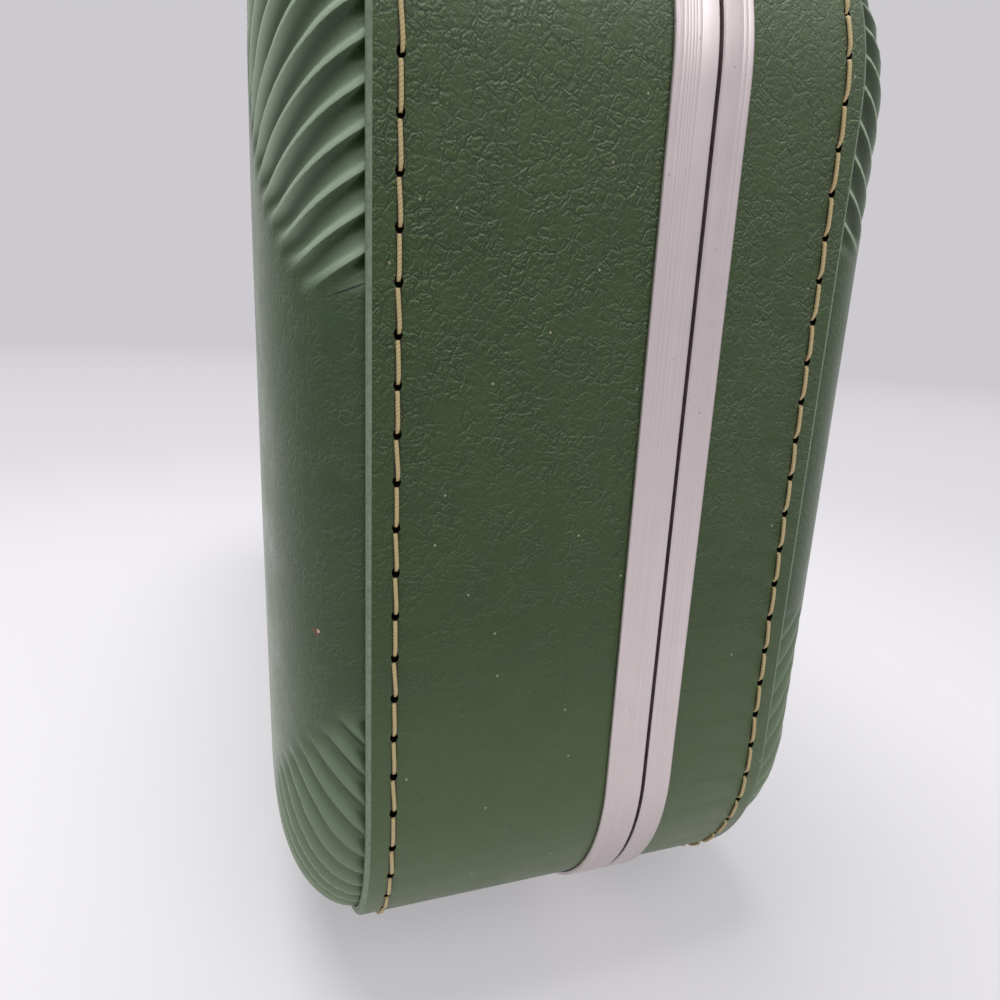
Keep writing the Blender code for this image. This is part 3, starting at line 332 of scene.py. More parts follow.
def vinyl_grain(tree, at, cell, lift):
    """Embossed leather grain on a position in mm: creases, their dark and light lips, and a cloud.

    The lips come from the creases as they are and shifted by lift, a small step towards the top.
    The light lip is painted highlight and the dark lip is painted shade, as if lit from above.
    """
    cloud = add_node(tree, "ShaderNodeTexNoise", {"Vector": at, "Scale": 0.07, "Detail": 3.0})
    patches = add_node(tree, "ShaderNodeTexNoise", {"Vector": at, "Scale": 0.5 / cell, "Detail": 2.0})
    broken = add_node(tree, "ShaderNodeMapRange", {"Value": patches.outputs[0], "From Min": 0.36,
                                                   "From Max": 0.6, "To Min": 0.25, "To Max": 1.0})
    nets = []
    for step in ((0, 0, 0), lift):
        spot = add_node(tree, "ShaderNodeVectorMath", {0: at, 1: step})
        drift = add_node(tree, "ShaderNodeTexNoise", {"Vector": spot.outputs[0], "Scale": 0.8 / cell,
                                                      "Detail": 5.0, "Roughness": 0.62})
        drift = add_node(tree, "ShaderNodeVectorMath",
                         {0: drift.outputs["Color"], 1: (1.9 * cell, 1.9 * cell, 0), 2: spot.outputs[0]},
                         operation="MULTIPLY_ADD")
        made = []
        for scale, width, share in ((1 / cell, 0.13, 1.0), (2.1 / cell, 0.16, 0.6)):
            cells = add_node(tree, "ShaderNodeTexVoronoi", {"Vector": drift.outputs[0], "Scale": scale},
                             feature="DISTANCE_TO_EDGE", voronoi_dimensions="2D")
            made.append(add_node(tree, "ShaderNodeMapRange",
                                 {"Value": cells.outputs["Distance"], "From Min": 0.0, "From Max": width,
                                  "To Min": share, "To Max": 0.0},
                                 interpolation_type="SMOOTHSTEP").outputs[0])
        depth = add_node(tree, "ShaderNodeMath", {0: made[0], 1: made[1]}, operation="MAXIMUM")
        nets.append(add_node(tree, "ShaderNodeMath", {0: depth.outputs[0], 1: broken.outputs[0]},
                             operation="MULTIPLY").outputs[0])
    # Painted shade on the creases' upper lips and painted highlight on their lower lips.
    dark = add_node(tree, "ShaderNodeMath", {0: nets[0], 1: nets[1]}, operation="SUBTRACT", use_clamp=True)
    light = add_node(tree, "ShaderNodeMath", {0: nets[1], 1: nets[0]}, operation="SUBTRACT", use_clamp=True)
    return nets[0], dark.outputs[0], light.outputs[0], cloud.outputs[0]


# Embossed creases, deepest towards the top where the vinyl is stretched least, carry a painted
# highlight on their lower lips and painted shade on their upper ones; handling has smoothed the lower
# part, and dust has left a few pale and dark specks. Paler colour towards the bottom and the top is
# painted sheen, and a painted shadow runs along both sides of each seam.
band_vinyl, tree, shader, at = new_material("pebbled_vinyl", "394A27", 0.42, specular=0.4)
shader.inputs["Sheen Weight"].default_value = 0.12
shader.inputs["Sheen Roughness"].default_value = 0.45
wrap = uv_in_mm(tree, "wrap")
crease, dark, light, cloud = vinyl_grain(tree, wrap, 3.2, (0.3, 0.12, 0))
height = add_node(tree, "ShaderNodeSeparateXYZ", {0: at})
fresh = add_node(tree, "ShaderNodeMapRange",
                 {"Value": height.outputs[2], "From Min": 60.0, "From Max": 250.0,
                  "To Min": 0.12, "To Max": 1.0}, interpolation_type="SMOOTHSTEP")
deep = add_node(tree, "ShaderNodeMath", {0: crease, 1: fresh.outputs[0]}, operation="MULTIPLY")
tone = add_node(tree, "ShaderNodeMix", {"Factor": cloud, 6: linear("2B3E17"), 7: linear("3A4F22")},
                data_type="RGBA")
# Painted highlight on the creases' lower lips and painted shade on their upper lips.
for share, amount, colour in ((light, 0.8, "8DA57A"), (dark, 0.7, "17220D")):
    share = add_node(tree, "ShaderNodeMath", {0: share, 1: fresh.outputs[0]}, operation="MULTIPLY")
    share = add_node(tree, "ShaderNodeMath", {0: share.outputs[0], 1: amount}, operation="MULTIPLY")
    tone = add_node(tree, "ShaderNodeMix", {"Factor": share.outputs[0], 6: tone.outputs[2],
                                            7: linear(colour)}, data_type="RGBA")
# Painted sheen: the band is paler towards the bottom and towards the top.
for low, far, most in ((115.0, 8.0, 0.5), (205.0, 300.0, 0.34)):
    painted_sheen = add_node(tree, "ShaderNodeMapRange", {"Value": height.outputs[2], "From Min": low,
                                                  "From Max": far, "To Min": 0.0, "To Max": most})
    tone = add_node(tree, "ShaderNodeMix", {"Factor": painted_sheen.outputs[0], 6: tone.outputs[2],
                                            7: linear("788A62")}, data_type="RGBA")
specks = add_node(tree, "ShaderNodeTexVoronoi", {"Vector": wrap, "Scale": 0.085}, voronoi_dimensions="2D")
tiny = add_node(tree, "ShaderNodeMapRange", {"Value": specks.outputs["Distance"], "From Min": 0.015,
                                             "From Max": 0.03, "To Min": 0.8, "To Max": 0.0})
kind = add_node(tree, "ShaderNodeSeparateColor", {0: specks.outputs["Color"]})
for channel, colour in ((0, "B4AE92"), (1, "161A10")):
    chosen = add_node(tree, "ShaderNodeMath", {0: kind.outputs[channel], 1: 0.8}, operation="GREATER_THAN")
    chosen = add_node(tree, "ShaderNodeMath", {0: chosen.outputs[0], 1: tiny.outputs[0]},
                      operation="MULTIPLY")
    tone = add_node(tree, "ShaderNodeMix", {"Factor": chosen.outputs[0], 6: tone.outputs[2],
                                            7: linear(colour)}, data_type="RGBA")
across = add_node(tree, "ShaderNodeSeparateXYZ", {0: wrap})
# A painted shadow along both sides of each seam's thread.
for half, side, depth in (("body", 1, body_depth), ("lid", -1, lid_depth)):
    seam_y = case_y(side, depth - seams[half][0]) / mm
    off = add_node(tree, "ShaderNodeMath", {0: across.outputs[1], 1: -seam_y}, operation="ADD")
    off = add_node(tree, "ShaderNodeMath", {0: off.outputs[0]}, operation="ABSOLUTE")
    painted_seam_shadow = add_node(tree, "ShaderNodeMapRange", {"Value": off.outputs[0], "From Min": 0.5,
                                                   "From Max": 0.85, "To Min": 0.85, "To Max": 0.0})
    tone = add_node(tree, "ShaderNodeMix", {"Factor": painted_seam_shadow.outputs[0], 6: tone.outputs[2],
                                            7: linear("1F1A0E")}, data_type="RGBA")
tree.links.new(tone.outputs[2], shader.inputs["Base Color"])
pebbles = add_node(tree, "ShaderNodeTexNoise", {"Vector": wrap, "Scale": 2.2, "Detail": 3.0})
relief = add_node(tree, "ShaderNodeMath", {0: deep.outputs[0], 1: -1.0, 2: 1.0}, operation="MULTIPLY_ADD")
relief = add_node(tree, "ShaderNodeMath", {0: pebbles.outputs[0], 1: 0.18, 2: relief.outputs[0]},
                  operation="MULTIPLY_ADD")
bump = add_node(tree, "ShaderNodeBump", {"Height": relief.outputs[0], "Strength": 0.8,
                                         "Distance": 0.0006})
tree.links.new(bump.outputs[0], shader.inputs["Normal"])
matt = add_node(tree, "ShaderNodeMapRange", {"Value": cloud, "From Min": 0.3, "From Max": 0.7,
                                             "To Min": 0.38, "To Max": 0.5})
tree.links.new(matt.outputs[0], shader.inputs["Roughness"])

# The cut edge is paler, fibrous and a little dirty.
cut_edge, tree, shader, at = new_material("cut_vinyl_edge", "7E8C7A", 0.6)
fibres = add_node(tree, "ShaderNodeTexNoise", {"Vector": at, "Scale": 0.8, "Detail": 5.0})
tone = add_node(tree, "ShaderNodeMix", {"Factor": fibres.outputs[0], 6: linear("55664F"),
                                        7: linear("8D9C86")}, data_type="RGBA")
tree.links.new(tone.outputs[2], shader.inputs["Base Color"])
bump = add_node(tree, "ShaderNodeBump", {"Height": fibres.outputs[0], "Strength": 0.4, "Distance": 0.0003})
tree.links.new(bump.outputs[0], shader.inputs["Normal"])
# The holes' walls are painted near black, without reflection: painted shade inside the holes.
awl_hole, tree, shader, at = new_material("awl_hole", "0C0D0B", 0.9, specular=0.0)
hole_shade_noise = add_node(tree, "ShaderNodeTexNoise", {"Vector": at, "Scale": 2.0})
tone = add_node(tree, "ShaderNodeMix", {"Factor": hole_shade_noise.outputs[0], 6: linear("060605"),
                                        7: linear("17140E")}, data_type="RGBA")
tree.links.new(tone.outputs[2], shader.inputs["Base Color"])

for half, side, depth, body in (("body", 1, body_depth, "body_half"), ("lid", -1, lid_depth, "lid")):
    bm = sweep_round([(0, band_start), (0, depth), (bevel_round, depth + bevel_shoulder),
                      (bevel_drop, depth + bevel_reach), (band_wall, depth + bevel_reach),
                      (band_wall, band_start)], side)
    wrap_uv(bm)
    for face in bm.faces:
        if side * (face.calc_center_median().y - parting_y) > depth:
            face.material_index = 1
    band = add_piece(f"{half}_vinyl_band", bm, band_vinyl, body, 25)
    band.data.materials.append(cut_edge)
    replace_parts(band, f"{half}_band")

    inset, count, first = seams[half]
    pitch = round_length / count
    bm = bmesh.new()
    for number in range(count):
        point, out = round_point(first + number * pitch)
        point.y = case_y(side, depth - inset)
        along = out.cross(Vector((0, 1, 0)))
        turn = Matrix((along, Vector((0, 1, 0)), out)).transposed().to_4x4()
        bmesh.ops.create_uvsphere(bm, u_segments=10, v_segments=6, radius=1,
                                  matrix=Matrix.Translation(point) @ turn
                                  @ Matrix.Diagonal(hole_size))
    bmesh.ops.recalc_face_normals(bm, faces=bm.faces[:])
    cutter_mesh = bpy.data.meshes.new(f"{half}_awl")
    bm.to_mesh(cutter_mesh)
    bm.free()
    cutter_mesh.materials.append(awl_hole)
    awl = bpy.data.objects.new(f"{half}_awl", cutter_mesh)
    scene.collection.objects.link(awl)
    punch = band.modifiers.new("awl_holes", "BOOLEAN")
    punch.operation = "DIFFERENCE"
    punch.solver = "EXACT"
    punch.material_mode = "TRANSFER"
    punch.object = awl
    bpy.context.view_layer.objects.active = band
    with bpy.context.temp_override(object=band, active_object=band):
        bpy.ops.object.modifier_apply(modifier="awl_holes")
    bpy.data.objects.remove(awl, do_unlink=True)


# Seam threads
# Waxed tan linen, two plies twisted, lockstitched through band and panel: each stitch comes up
# under the lip of one hole, lies proud on the band and slopes down into the next.
linen, tree, shader, at = new_material("waxed_linen_thread", "C8B58C", 0.62)
layer = add_node(tree, "ShaderNodeUVMap", uv_map="twist")
parts = add_node(tree, "ShaderNodeSeparateXYZ", {0: layer.outputs[0]})
lay = add_node(tree, "ShaderNodeMath", {0: parts.outputs[1], 1: 0.6, 2: parts.outputs[0]},
               operation="MULTIPLY_ADD")
plies = add_node(tree, "ShaderNodeMath", {0: lay.outputs[0], 1: 0.25}, operation="PINGPONG")
fluff = add_node(tree, "ShaderNodeTexNoise", {"Vector": at, "Scale": 3.0, "Detail": 3.0})
# The groove between the plies is painted darker: painted shade.
hollow = add_node(tree, "ShaderNodeMapRange", {"Value": plies.outputs[0], "From Min": 0.0,
                                               "From Max": 0.11, "To Min": 1.0, "To Max": 0.0})
waxed = add_node(tree, "ShaderNodeMix", {"Factor": fluff.outputs[0], 6: linear("AF9560"),
                                         7: linear("DCCDA0")}, data_type="RGBA")
waxed = add_node(tree, "ShaderNodeMix", {"Factor": hollow.outputs[0], 6: waxed.outputs[2],
                                         7: linear("A88F60")}, data_type="RGBA")
tree.links.new(waxed.outputs[2], shader.inputs["Base Color"])
relief = add_node(tree, "ShaderNodeMath", {0: plies.outputs[0], 1: 4.0, 2: fluff.outputs[0]},
                  operation="MULTIPLY_ADD")
bump = add_node(tree, "ShaderNodeBump", {"Height": relief.outputs[0], "Strength": 0.2,
                                         "Distance": 0.0001})
tree.links.new(bump.outputs[0], shader.inputs["Normal"])

thread_width = 0.95 * mm
for half, side, depth, body in (("body", 1, body_depth, "body_half"), ("lid", -1, lid_depth, "lid")):
    inset, count, first = seams[half]
    pitch = round_length / count
    stations = [(0.0, -1.0), (0.06, -0.45), (0.13, 0.02), (0.22, 0.3), (0.4, 0.4), (0.66, 0.4),
                (0.82, 0.34), (0.875, 0.1), (0.89, -0.9)]
    bm = bmesh.new()
    twist = bm.loops.layers.uv.new("twist")
    ring = bmesh.ops.create_circle(bm, segments=8, radius=thread_width / 2)["verts"]
    bmesh.ops.rotate(bm, verts=ring, matrix=Matrix.Rotation(math.radians(90), 3, "Y"))
    edges = bm.edges[:]
    spot = Vector((0, 0, 0))
    windings = {}
    for share, height in stations:
        following = Vector(((share - 0.5) * pitch, 0, height * mm))
        if windings:
            grown = bmesh.ops.extrude_edge_only(bm, edges=edges)["geom"]
            ring = [item for item in grown if isinstance(item, bmesh.types.BMVert)]
            edges = [item for item in grown if isinstance(item, bmesh.types.BMEdge)
                     and item.is_boundary]
        bmesh.ops.translate(bm, verts=ring, vec=following - spot)
        spot = following
        for vert in ring:
            angle = math.atan2(vert.co.y, vert.co.z - spot.z) / math.radians(360)
            windings[vert] = (angle, share * pitch / mm)
    for face in bm.faces:
        turns = [windings[loop.vert] for loop in face.loops]
        over = max(turn[0] for turn in turns) - min(turn[0] for turn in turns) > 0.5
        for loop, (angle, length) in zip(face.loops, turns):
            loop[twist].uv = (angle + (1 if over and angle < 0 else 0), length)
    stitch = bpy.data.meshes.new("stitch")
    bm.to_mesh(stitch)
    bm.free()
    bm = bmesh.new()
    for number in range(count):
        point, out = round_point(first + (number + 0.5) * pitch)
        point.y = case_y(side, depth - inset)
        along = -out.cross(Vector((0, 1, 0)))
        turn = Matrix((along, Vector((0, 1, 0)), out)).transposed().to_4x4()
        sway = math.radians(2.5 + 1.8 * math.sin(number * 2.4))
        lay = Matrix.Translation(point) @ turn @ Matrix.Rotation(sway, 4, "Z")
        start = len(bm.verts)
        bm.from_mesh(stitch)
        bm.verts.ensure_lookup_table()
        for vert in bm.verts[start:]:
            vert.co = lay @ vert.co
    bpy.data.meshes.remove(stitch)
    bmesh.ops.recalc_face_normals(bm, faces=bm.faces[:])
    thread = add_piece(f"{half}_stitches", bm, linen, body, 60)
    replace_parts(thread, f"{half}_seam_thread")


# Panels
# Fibreboard trays, hot-pressed with green vinyl: straight ribs run from the rim's corners towards
# the plain middle and die away. The vinyl is stretched shiny over the ribs, and the pale along their
# crests is painted highlight and sheen.
rim_shapes = {"body": (21.5 * mm, 36 * mm), "lid": (25 * mm, 34 * mm)}
rib_fade, rib_face_reach = 9 * mm, 56 * mm
# Each corner's ribs: angle, pitch, how far along and up the face they reach, shift and depth.
rib_patterns = {
    ("body", 1): (math.radians(32.5), 7.55 * mm, 66 * mm, 108 * mm, 0.0, 2.6 * mm),
    ("body", -1): (math.radians(47), 8.35 * mm, 41.5 * mm, 91 * mm, -0.33, 2.0 * mm),
    ("lid", 1): (math.radians(32.5), 7.55 * mm, 47 * mm, 92 * mm, 0.07, 2.6 * mm),
    ("lid", -1): (math.radians(47), 8.35 * mm, 62 * mm, 104 * mm, 0.28, 2.0 * mm)}
steep_start = 0.58
panel_wall = 4.2 * mm
panel_mesh = 1 * mm
plain_half = 84 * mm
crown, crown_start = 0.7 * mm, 0.8
rib_lip = 3 * mm
inner_rim_steps = 6
rim_samples = 90


def rib_place(half, x, up, length):
    """Distance up or down a corner's ribs in pitches, and how deep their grooves are there."""
    angle, pitch, reach, drop, shift, deep = rib_patterns[half, 1 if up > 0 else -1]
    inwards = case_length / 2 - flange_inset - abs(x)
    place = (abs(up) + math.tan(angle) * inwards - case_height / 2 + corner_radius) / pitch - shift
    zone = case_length / 2 + case_height / 2 - corner_radius - reach
    run = min((abs(x) + abs(up) - zone) / math.sqrt(2), abs(up) - case_height / 2 + drop,
              rib_face_reach - length)
    fade = min(max(run / rib_fade, 0), 1)
    return place, fade * fade * (3 - 2 * fade), deep


def rim_arc(reach, bulge, angle):
    """Inset, rise and inward normal of the quarter-elliptic rim at an angle from the band."""
    across, along = bulge * math.cos(angle), reach * math.sin(angle)
    size = math.hypot(across, along)
    return reach * (1 - math.cos(angle)), bulge * math.sin(angle), across / size, -along / size


def press_panel(half, side, depth):
    """Sweep the tray out flat round the case, then wrap it over its rim and press in the ribs."""
    bulge, reach = rim_shapes[half]
    rings = round(rib_face_reach / panel_mesh) + 1
    lengths = [-panel_flange, -rib_lip] + [number * panel_mesh for number in range(rings)]
    bm = sweep_round([(flange_inset + length, 0) for length in lengths], side, closed=False,
                     step=panel_mesh, turn_steps=80, plain=plain_half)
    flat = bm.loops.layers.uv.new("flat")
    ribs = bm.loops.layers.uv.new("ribs")
    inwards = bm.loops.layers.uv.new("inwards")
    table = [(0.0, 0.0)]
    rim_bulge = bulge - crown
    last_inset = last_rise = 0.0
    for number in range(1, rim_samples + 1):
        angle = math.radians(90) * number / rim_samples
        inset, rise = rim_arc(reach, rim_bulge, angle)[:2]
        table.append((table[-1][0] + math.hypot(inset - last_inset, rise - last_rise), angle))
        last_inset, last_rise = inset, rise
    rim_length = table[-1][0]

    places = {}
    for vert in bm.verts:
        x, up = vert.co.x, vert.co.z - centre_z
        outward = round_place(x, vert.co.z)[1]
        over_x, over_up = max(abs(x) - run_x, 0), max(abs(up) - run_z, 0)
        length = corner_radius - flange_inset - math.hypot(over_x, over_up)
        place, fade, deep = rib_place(half, x, up, length)
        place *= 1 if up > 0 else -1
        below = place % 1
        share = below / steep_start if below < steep_start else (1 - below) / (1 - steep_start)
        groove = deep * fade * (1 - math.cos(math.radians(180) * share)) / 2
        groove *= min(max((length + rib_lip) / rib_lip, 0), 1)
        places[vert] = (x, up, place, fade, length)
        if length < 0:
            inset, rise, inward, raised = 0.0, max(length, -panel_flange), 1.0, 0.0
        else:
            along = min(length, rim_length)
            step = max(bisect_left(table, (along - 1e-9,)), 1)
            (low, low_angle), (far, far_angle) = table[step - 1], table[step]
            angle = low_angle + (far_angle - low_angle) * (along - low) / (far - low)
            inset, rise, inward, raised = rim_arc(reach, rim_bulge, angle)
            inset += max(length - rim_length, 0)
            level = rim_length * crown_start
            spread = min(max((length - level) / (rib_face_reach - level), 0), 1)
            rise += crown * spread * spread * (3 - 2 * spread)
        shift_out = length - inset - inward * groove
        vert.co = (x + outward.x * shift_out, case_y(side, depth + rise + raised * groove),
                   centre_z + up + outward.z * shift_out)
    for face in bm.faces:
        for loop in face.loops:
            x, up, place, fade, length = places[loop.vert]
            loop[flat].uv = (x, up)
            loop[ribs].uv = (place, fade)
            loop[inwards].uv = (length, 0)

    borders = [edge for edge in bm.edges if edge.is_boundary]
    middle = [edge for edge in borders if side * (edge.verts[0].co.y - case_y(side, depth)) > 0]
    rim = [edge for edge in borders if side * (edge.verts[0].co.y - case_y(side, depth)) < 0]
    bmesh.ops.contextual_create(bm, geom=middle)
    levels = [(panel_wall, -panel_flange)]
    for number in range(inner_rim_steps + 1):
        angle = math.radians(90) * number / inner_rim_steps
        inset, rise = rim_arc(reach - panel_wall, bulge - panel_wall, angle)[:2]
        levels.append((panel_wall + inset, rise))
    last_inset = 0.0
    for inset, rise in levels:
        grown = bmesh.ops.extrude_edge_only(bm, edges=rim)["geom"]
        rim = [item for item in grown if isinstance(item, bmesh.types.BMEdge) and item.is_boundary]
        for vert in (item for item in grown if isinstance(item, bmesh.types.BMVert)):
            vert.co -= round_place(vert.co.x, vert.co.z)[1] * (inset - last_inset)
            vert.co.y = case_y(side, depth + rise)
        last_inset = inset
    bmesh.ops.contextual_create(bm, geom=rim)
    bmesh.ops.recalc_face_normals(bm, faces=bm.faces[:])
    return bm


# The middle of each panel repeats the band's grain more faintly, with the same painted highlight and
# painted shade on the creases' lips. Along the ribs' crests a pale band is painted highlight and sheen,
# and a dark band in the groove under each crest is painted shade. Where the rim bends over, the
# painted sheen runs on down the ribs' steep sides, and in the lower corners the painted highlight is
# fainter. Towards the bottom the panel is painted paler as sheen. A chip near the body's end shows the
# brown board, and a short crack runs along the last groove.
panel_vinyl, tree, shader, at = new_material("pressed_vinyl", "3C4D2B", 0.3, specular=0.42)
shader.inputs["Sheen Weight"].default_value = 0.18
shader.inputs["Sheen Tint"].default_value = linear("C9DCC0")
shader.inputs["Sheen Roughness"].default_value = 0.4
flat = uv_in_mm(tree, "flat")
layer = add_node(tree, "ShaderNodeUVMap", uv_map="ribs")
parts = add_node(tree, "ShaderNodeSeparateXYZ", {0: layer.outputs[0]})
above = add_node(tree, "ShaderNodeMath", {0: parts.outputs[0]}, operation="FRACT")
crease, dark, light, cloud = vinyl_grain(tree, flat, 2.8, (0.12, 0.3, 0))
plain = add_node(tree, "ShaderNodeMapRange", {"Value": parts.outputs[1], "From Min": 0.0, "From Max": 0.7,
                                              "To Min": 0.6, "To Max": 0.1})
deep = add_node(tree, "ShaderNodeMath", {0: crease, 1: plain.outputs[0]}, operation="MULTIPLY")
tone = add_node(tree, "ShaderNodeMix", {"Factor": cloud, 6: linear("2A3D1E"), 7: linear("394E28")},
                data_type="RGBA")
# Painted sheen on the ribs' steep sides where the rim bends over towards the face.
distance = add_node(tree, "ShaderNodeSeparateXYZ", {0: uv_in_mm(tree, "inwards")})
bent = add_node(tree, "ShaderNodeMapRange", {"Value": distance.outputs[0], "From Min": 6.0,
                                             "From Max": 30.0}, interpolation_type="SMOOTHSTEP")
height = add_node(tree, "ShaderNodeSeparateXYZ", {0: flat})
# The painted highlight is full in the upper corners and fainter in the lower ones.
upper = add_node(tree, "ShaderNodeMath", {0: height.outputs[1], 1: 0.0}, operation="GREATER_THAN")
wear_and_sheen = add_node(tree, "ShaderNodeMath", {0: upper.outputs[0], 1: 0.65, 2: 0.35}, operation="MULTIPLY_ADD")
wear_and_sheen = add_node(tree, "ShaderNodeMath", {0: wear_and_sheen.outputs[0], 1: parts.outputs[1]}, operation="MULTIPLY")
bent = add_node(tree, "ShaderNodeMath", {0: bent.outputs[0], 1: wear_and_sheen.outputs[0]}, operation="MULTIPLY")
# The dark band in the groove under each crest is painted shade; the pale bands are painted highlight and
# sheen.
for start, full, end, most, colour, where in ((0.5, 0.85, 0.99, 0.6, "18250F", parts.outputs[1]),
                                              (0.78, 0.16, -1.0, 0.9, "A6B99E", wear_and_sheen.outputs[0]),
                                              (0.95, 1.0, 2.0, 0.9, "A6B99E", wear_and_sheen.outputs[0]),
                                              (0.66, 0.98, 2.0, 0.85, "A3B59B", bent.outputs[0])):
    rise = add_node(tree, "ShaderNodeMapRange", {"Value": above.outputs[0], "From Min": start,
                                                 "From Max": full}, interpolation_type="SMOOTHSTEP")
    fall = add_node(tree, "ShaderNodeMapRange", {"Value": above.outputs[0], "From Min": end,
                                                 "From Max": full}, interpolation_type="SMOOTHSTEP")
    share = add_node(tree, "ShaderNodeMath", {0: rise.outputs[0], 1: fall.outputs[0]}, operation="MULTIPLY")
    share = add_node(tree, "ShaderNodeMath", {0: share.outputs[0], 1: where}, operation="MULTIPLY")
    share = add_node(tree, "ShaderNodeMath", {0: share.outputs[0], 1: most}, operation="MULTIPLY")
    tone = add_node(tree, "ShaderNodeMix", {"Factor": share.outputs[0], 6: tone.outputs[2],
                                            7: linear(colour)}, data_type="RGBA")
# Painted highlight and painted shade on the grain's lips, as on the band.
for share, amount, colour in ((light, 0.8, "71866A"), (dark, 0.6, "18220F")):
    share = add_node(tree, "ShaderNodeMath", {0: share, 1: plain.outputs[0]}, operation="MULTIPLY")
    share = add_node(tree, "ShaderNodeMath", {0: share.outputs[0], 1: amount}, operation="MULTIPLY")
    tone = add_node(tree, "ShaderNodeMix", {"Factor": share.outputs[0], 6: tone.outputs[2],
                                            7: linear(colour)}, data_type="RGBA")

# Painted sheen: the panel is paler towards the bottom.
panel_height = add_node(tree, "ShaderNodeSeparateXYZ", {0: at})
painted_sheen = add_node(tree, "ShaderNodeMapRange", {"Value": panel_height.outputs[2], "From Min": 110.0,
                                              "From Max": 8.0, "To Min": 0.0, "To Max": 0.55})
tone = add_node(tree, "ShaderNodeMix", {"Factor": painted_sheen.outputs[0], 6: tone.outputs[2],
                                        7: linear("788A66")}, data_type="RGBA")

# The chip and the crack are on the deep half alone, at places in mm on the flat sheet.
sides = add_node(tree, "ShaderNodeSeparateXYZ", {0: at})
on_body = add_node(tree, "ShaderNodeMath", {0: sides.outputs[1], 1: 0.0}, operation="GREATER_THAN")
ragged = add_node(tree, "ShaderNodeTexNoise", {"Vector": flat, "Scale": 1.6, "Detail": 3.0})
for place, turn, half_size, colour in (((-194.3, -37.0, 0), 0.9, (1.1, 0.75), "5F4129"),
                                       ((-195.1, -36.6, 0), 0.9, (0.5, 0.42), "C7A596"),
                                       ((-203.0, 38.2, 0), -0.36, (4.2, 0.2), "141A10")):
    spot = add_node(tree, "ShaderNodeMapping", {"Vector": flat, "Location": place, "Rotation": (0, 0, turn),
                                                "Scale": (half_size[0], half_size[1], 1)},
                    vector_type="TEXTURE")
    reach = add_node(tree, "ShaderNodeVectorMath", {0: spot.outputs[0]}, operation="LENGTH")
    reach = add_node(tree, "ShaderNodeMath", {0: reach.outputs["Value"], 1: ragged.outputs[0]})
    within = add_node(tree, "ShaderNodeMapRange", {"Value": reach.outputs[0], "From Min": 1.4,
                                                   "From Max": 1.6, "To Min": 1.0, "To Max": 0.0})
    within = add_node(tree, "ShaderNodeMath", {0: within.outputs[0], 1: on_body.outputs[0]},
                      operation="MULTIPLY")
    tone = add_node(tree, "ShaderNodeMix", {"Factor": within.outputs[0], 6: tone.outputs[2],
                                            7: linear(colour)}, data_type="RGBA")
tree.links.new(tone.outputs[2], shader.inputs["Base Color"])
relief = add_node(tree, "ShaderNodeMath", {0: deep.outputs[0], 1: -1.0, 2: 1.0}, operation="MULTIPLY_ADD")
ripple = add_node(tree, "ShaderNodeTexNoise", {"Vector": flat, "Scale": 0.9, "Detail": 3.0})
relief = add_node(tree, "ShaderNodeMath", {0: ripple.outputs[0], 1: 0.35, 2: relief.outputs[0]},
                  operation="MULTIPLY_ADD")
bump = add_node(tree, "ShaderNodeBump", {"Height": relief.outputs[0], "Strength": 0.5,
                                         "Distance": 0.0003})
tree.links.new(bump.outputs[0], shader.inputs["Normal"])
wear_and_sheen = add_node(tree, "ShaderNodeMapRange", {"Value": cloud, "From Min": 0.3, "From Max": 0.7,
                                             "To Min": 0.26, "To Max": 0.38})
tree.links.new(wear_and_sheen.outputs[0], shader.inputs["Roughness"])

for half, side, depth, body in (("body", 1, body_depth, "body_half"), ("lid", -1, lid_depth, "lid")):
    shell = add_piece(f"{half}_vinyl_panel", press_panel(half, side, depth), panel_vinyl, body,
                      60)
    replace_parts(shell, f"{half}_panel")


# Rails
# Rolled aluminium channels over the bands' edges, satin from handling, with fine drawn lines along
# them. The body's has a tongue that the lid closes round.
satin_aluminium, tree, shader, at = new_material("satin_aluminium", "D6CBCA", 0.36, 1.0)
wrap = uv_in_mm(tree, "wrap")
drawn = add_node(tree, "ShaderNodeMapping", {"Vector": wrap, "Scale": (0.012, 5.0, 1.0)})
lines = add_node(tree, "ShaderNodeTexNoise", {"Vector": drawn.outputs[0], "Scale": 1.0, "Detail": 4.0},
                 noise_dimensions="2D")
smudge = add_node(tree, "ShaderNodeTexNoise", {"Vector": wrap, "Scale": 0.12, "Detail": 4.0})
tone = add_node(tree, "ShaderNodeMix", {"Factor": lines.outputs[0], 6: linear("C7BCBC"),
                                        7: linear("E6DCDB")}, data_type="RGBA")
scuffs = add_node(tree, "ShaderNodeTexNoise", {"Vector": wrap, "Scale": 0.9, "Detail": 5.0})
scuffs = add_node(tree, "ShaderNodeMapRange", {"Value": scuffs.outputs[0], "From Min": 0.68,
                                               "From Max": 0.74, "To Min": 0.0, "To Max": 0.55})
tone = add_node(tree, "ShaderNodeMix", {"Factor": scuffs.outputs[0], 6: tone.outputs[2],
                                        7: linear("6E6264")}, data_type="RGBA")
tree.links.new(tone.outputs[2], shader.inputs["Base Color"])
bump = add_node(tree, "ShaderNodeBump", {"Height": lines.outputs[0], "Strength": 0.1,
                                         "Distance": 0.00005})
tree.links.new(bump.outputs[0], shader.inputs["Normal"])
wear_and_sheen = add_node(tree, "ShaderNodeMapRange", {"Value": smudge.outputs[0], "From Min": 0.3,
                                             "From Max": 0.7, "To Min": 0.4, "To Max": 0.5})
tree.links.new(wear_and_sheen.outputs[0], shader.inputs["Roughness"])

line_width, proud, wall = 0.3 * mm, 1.3 * mm, 1 * mm
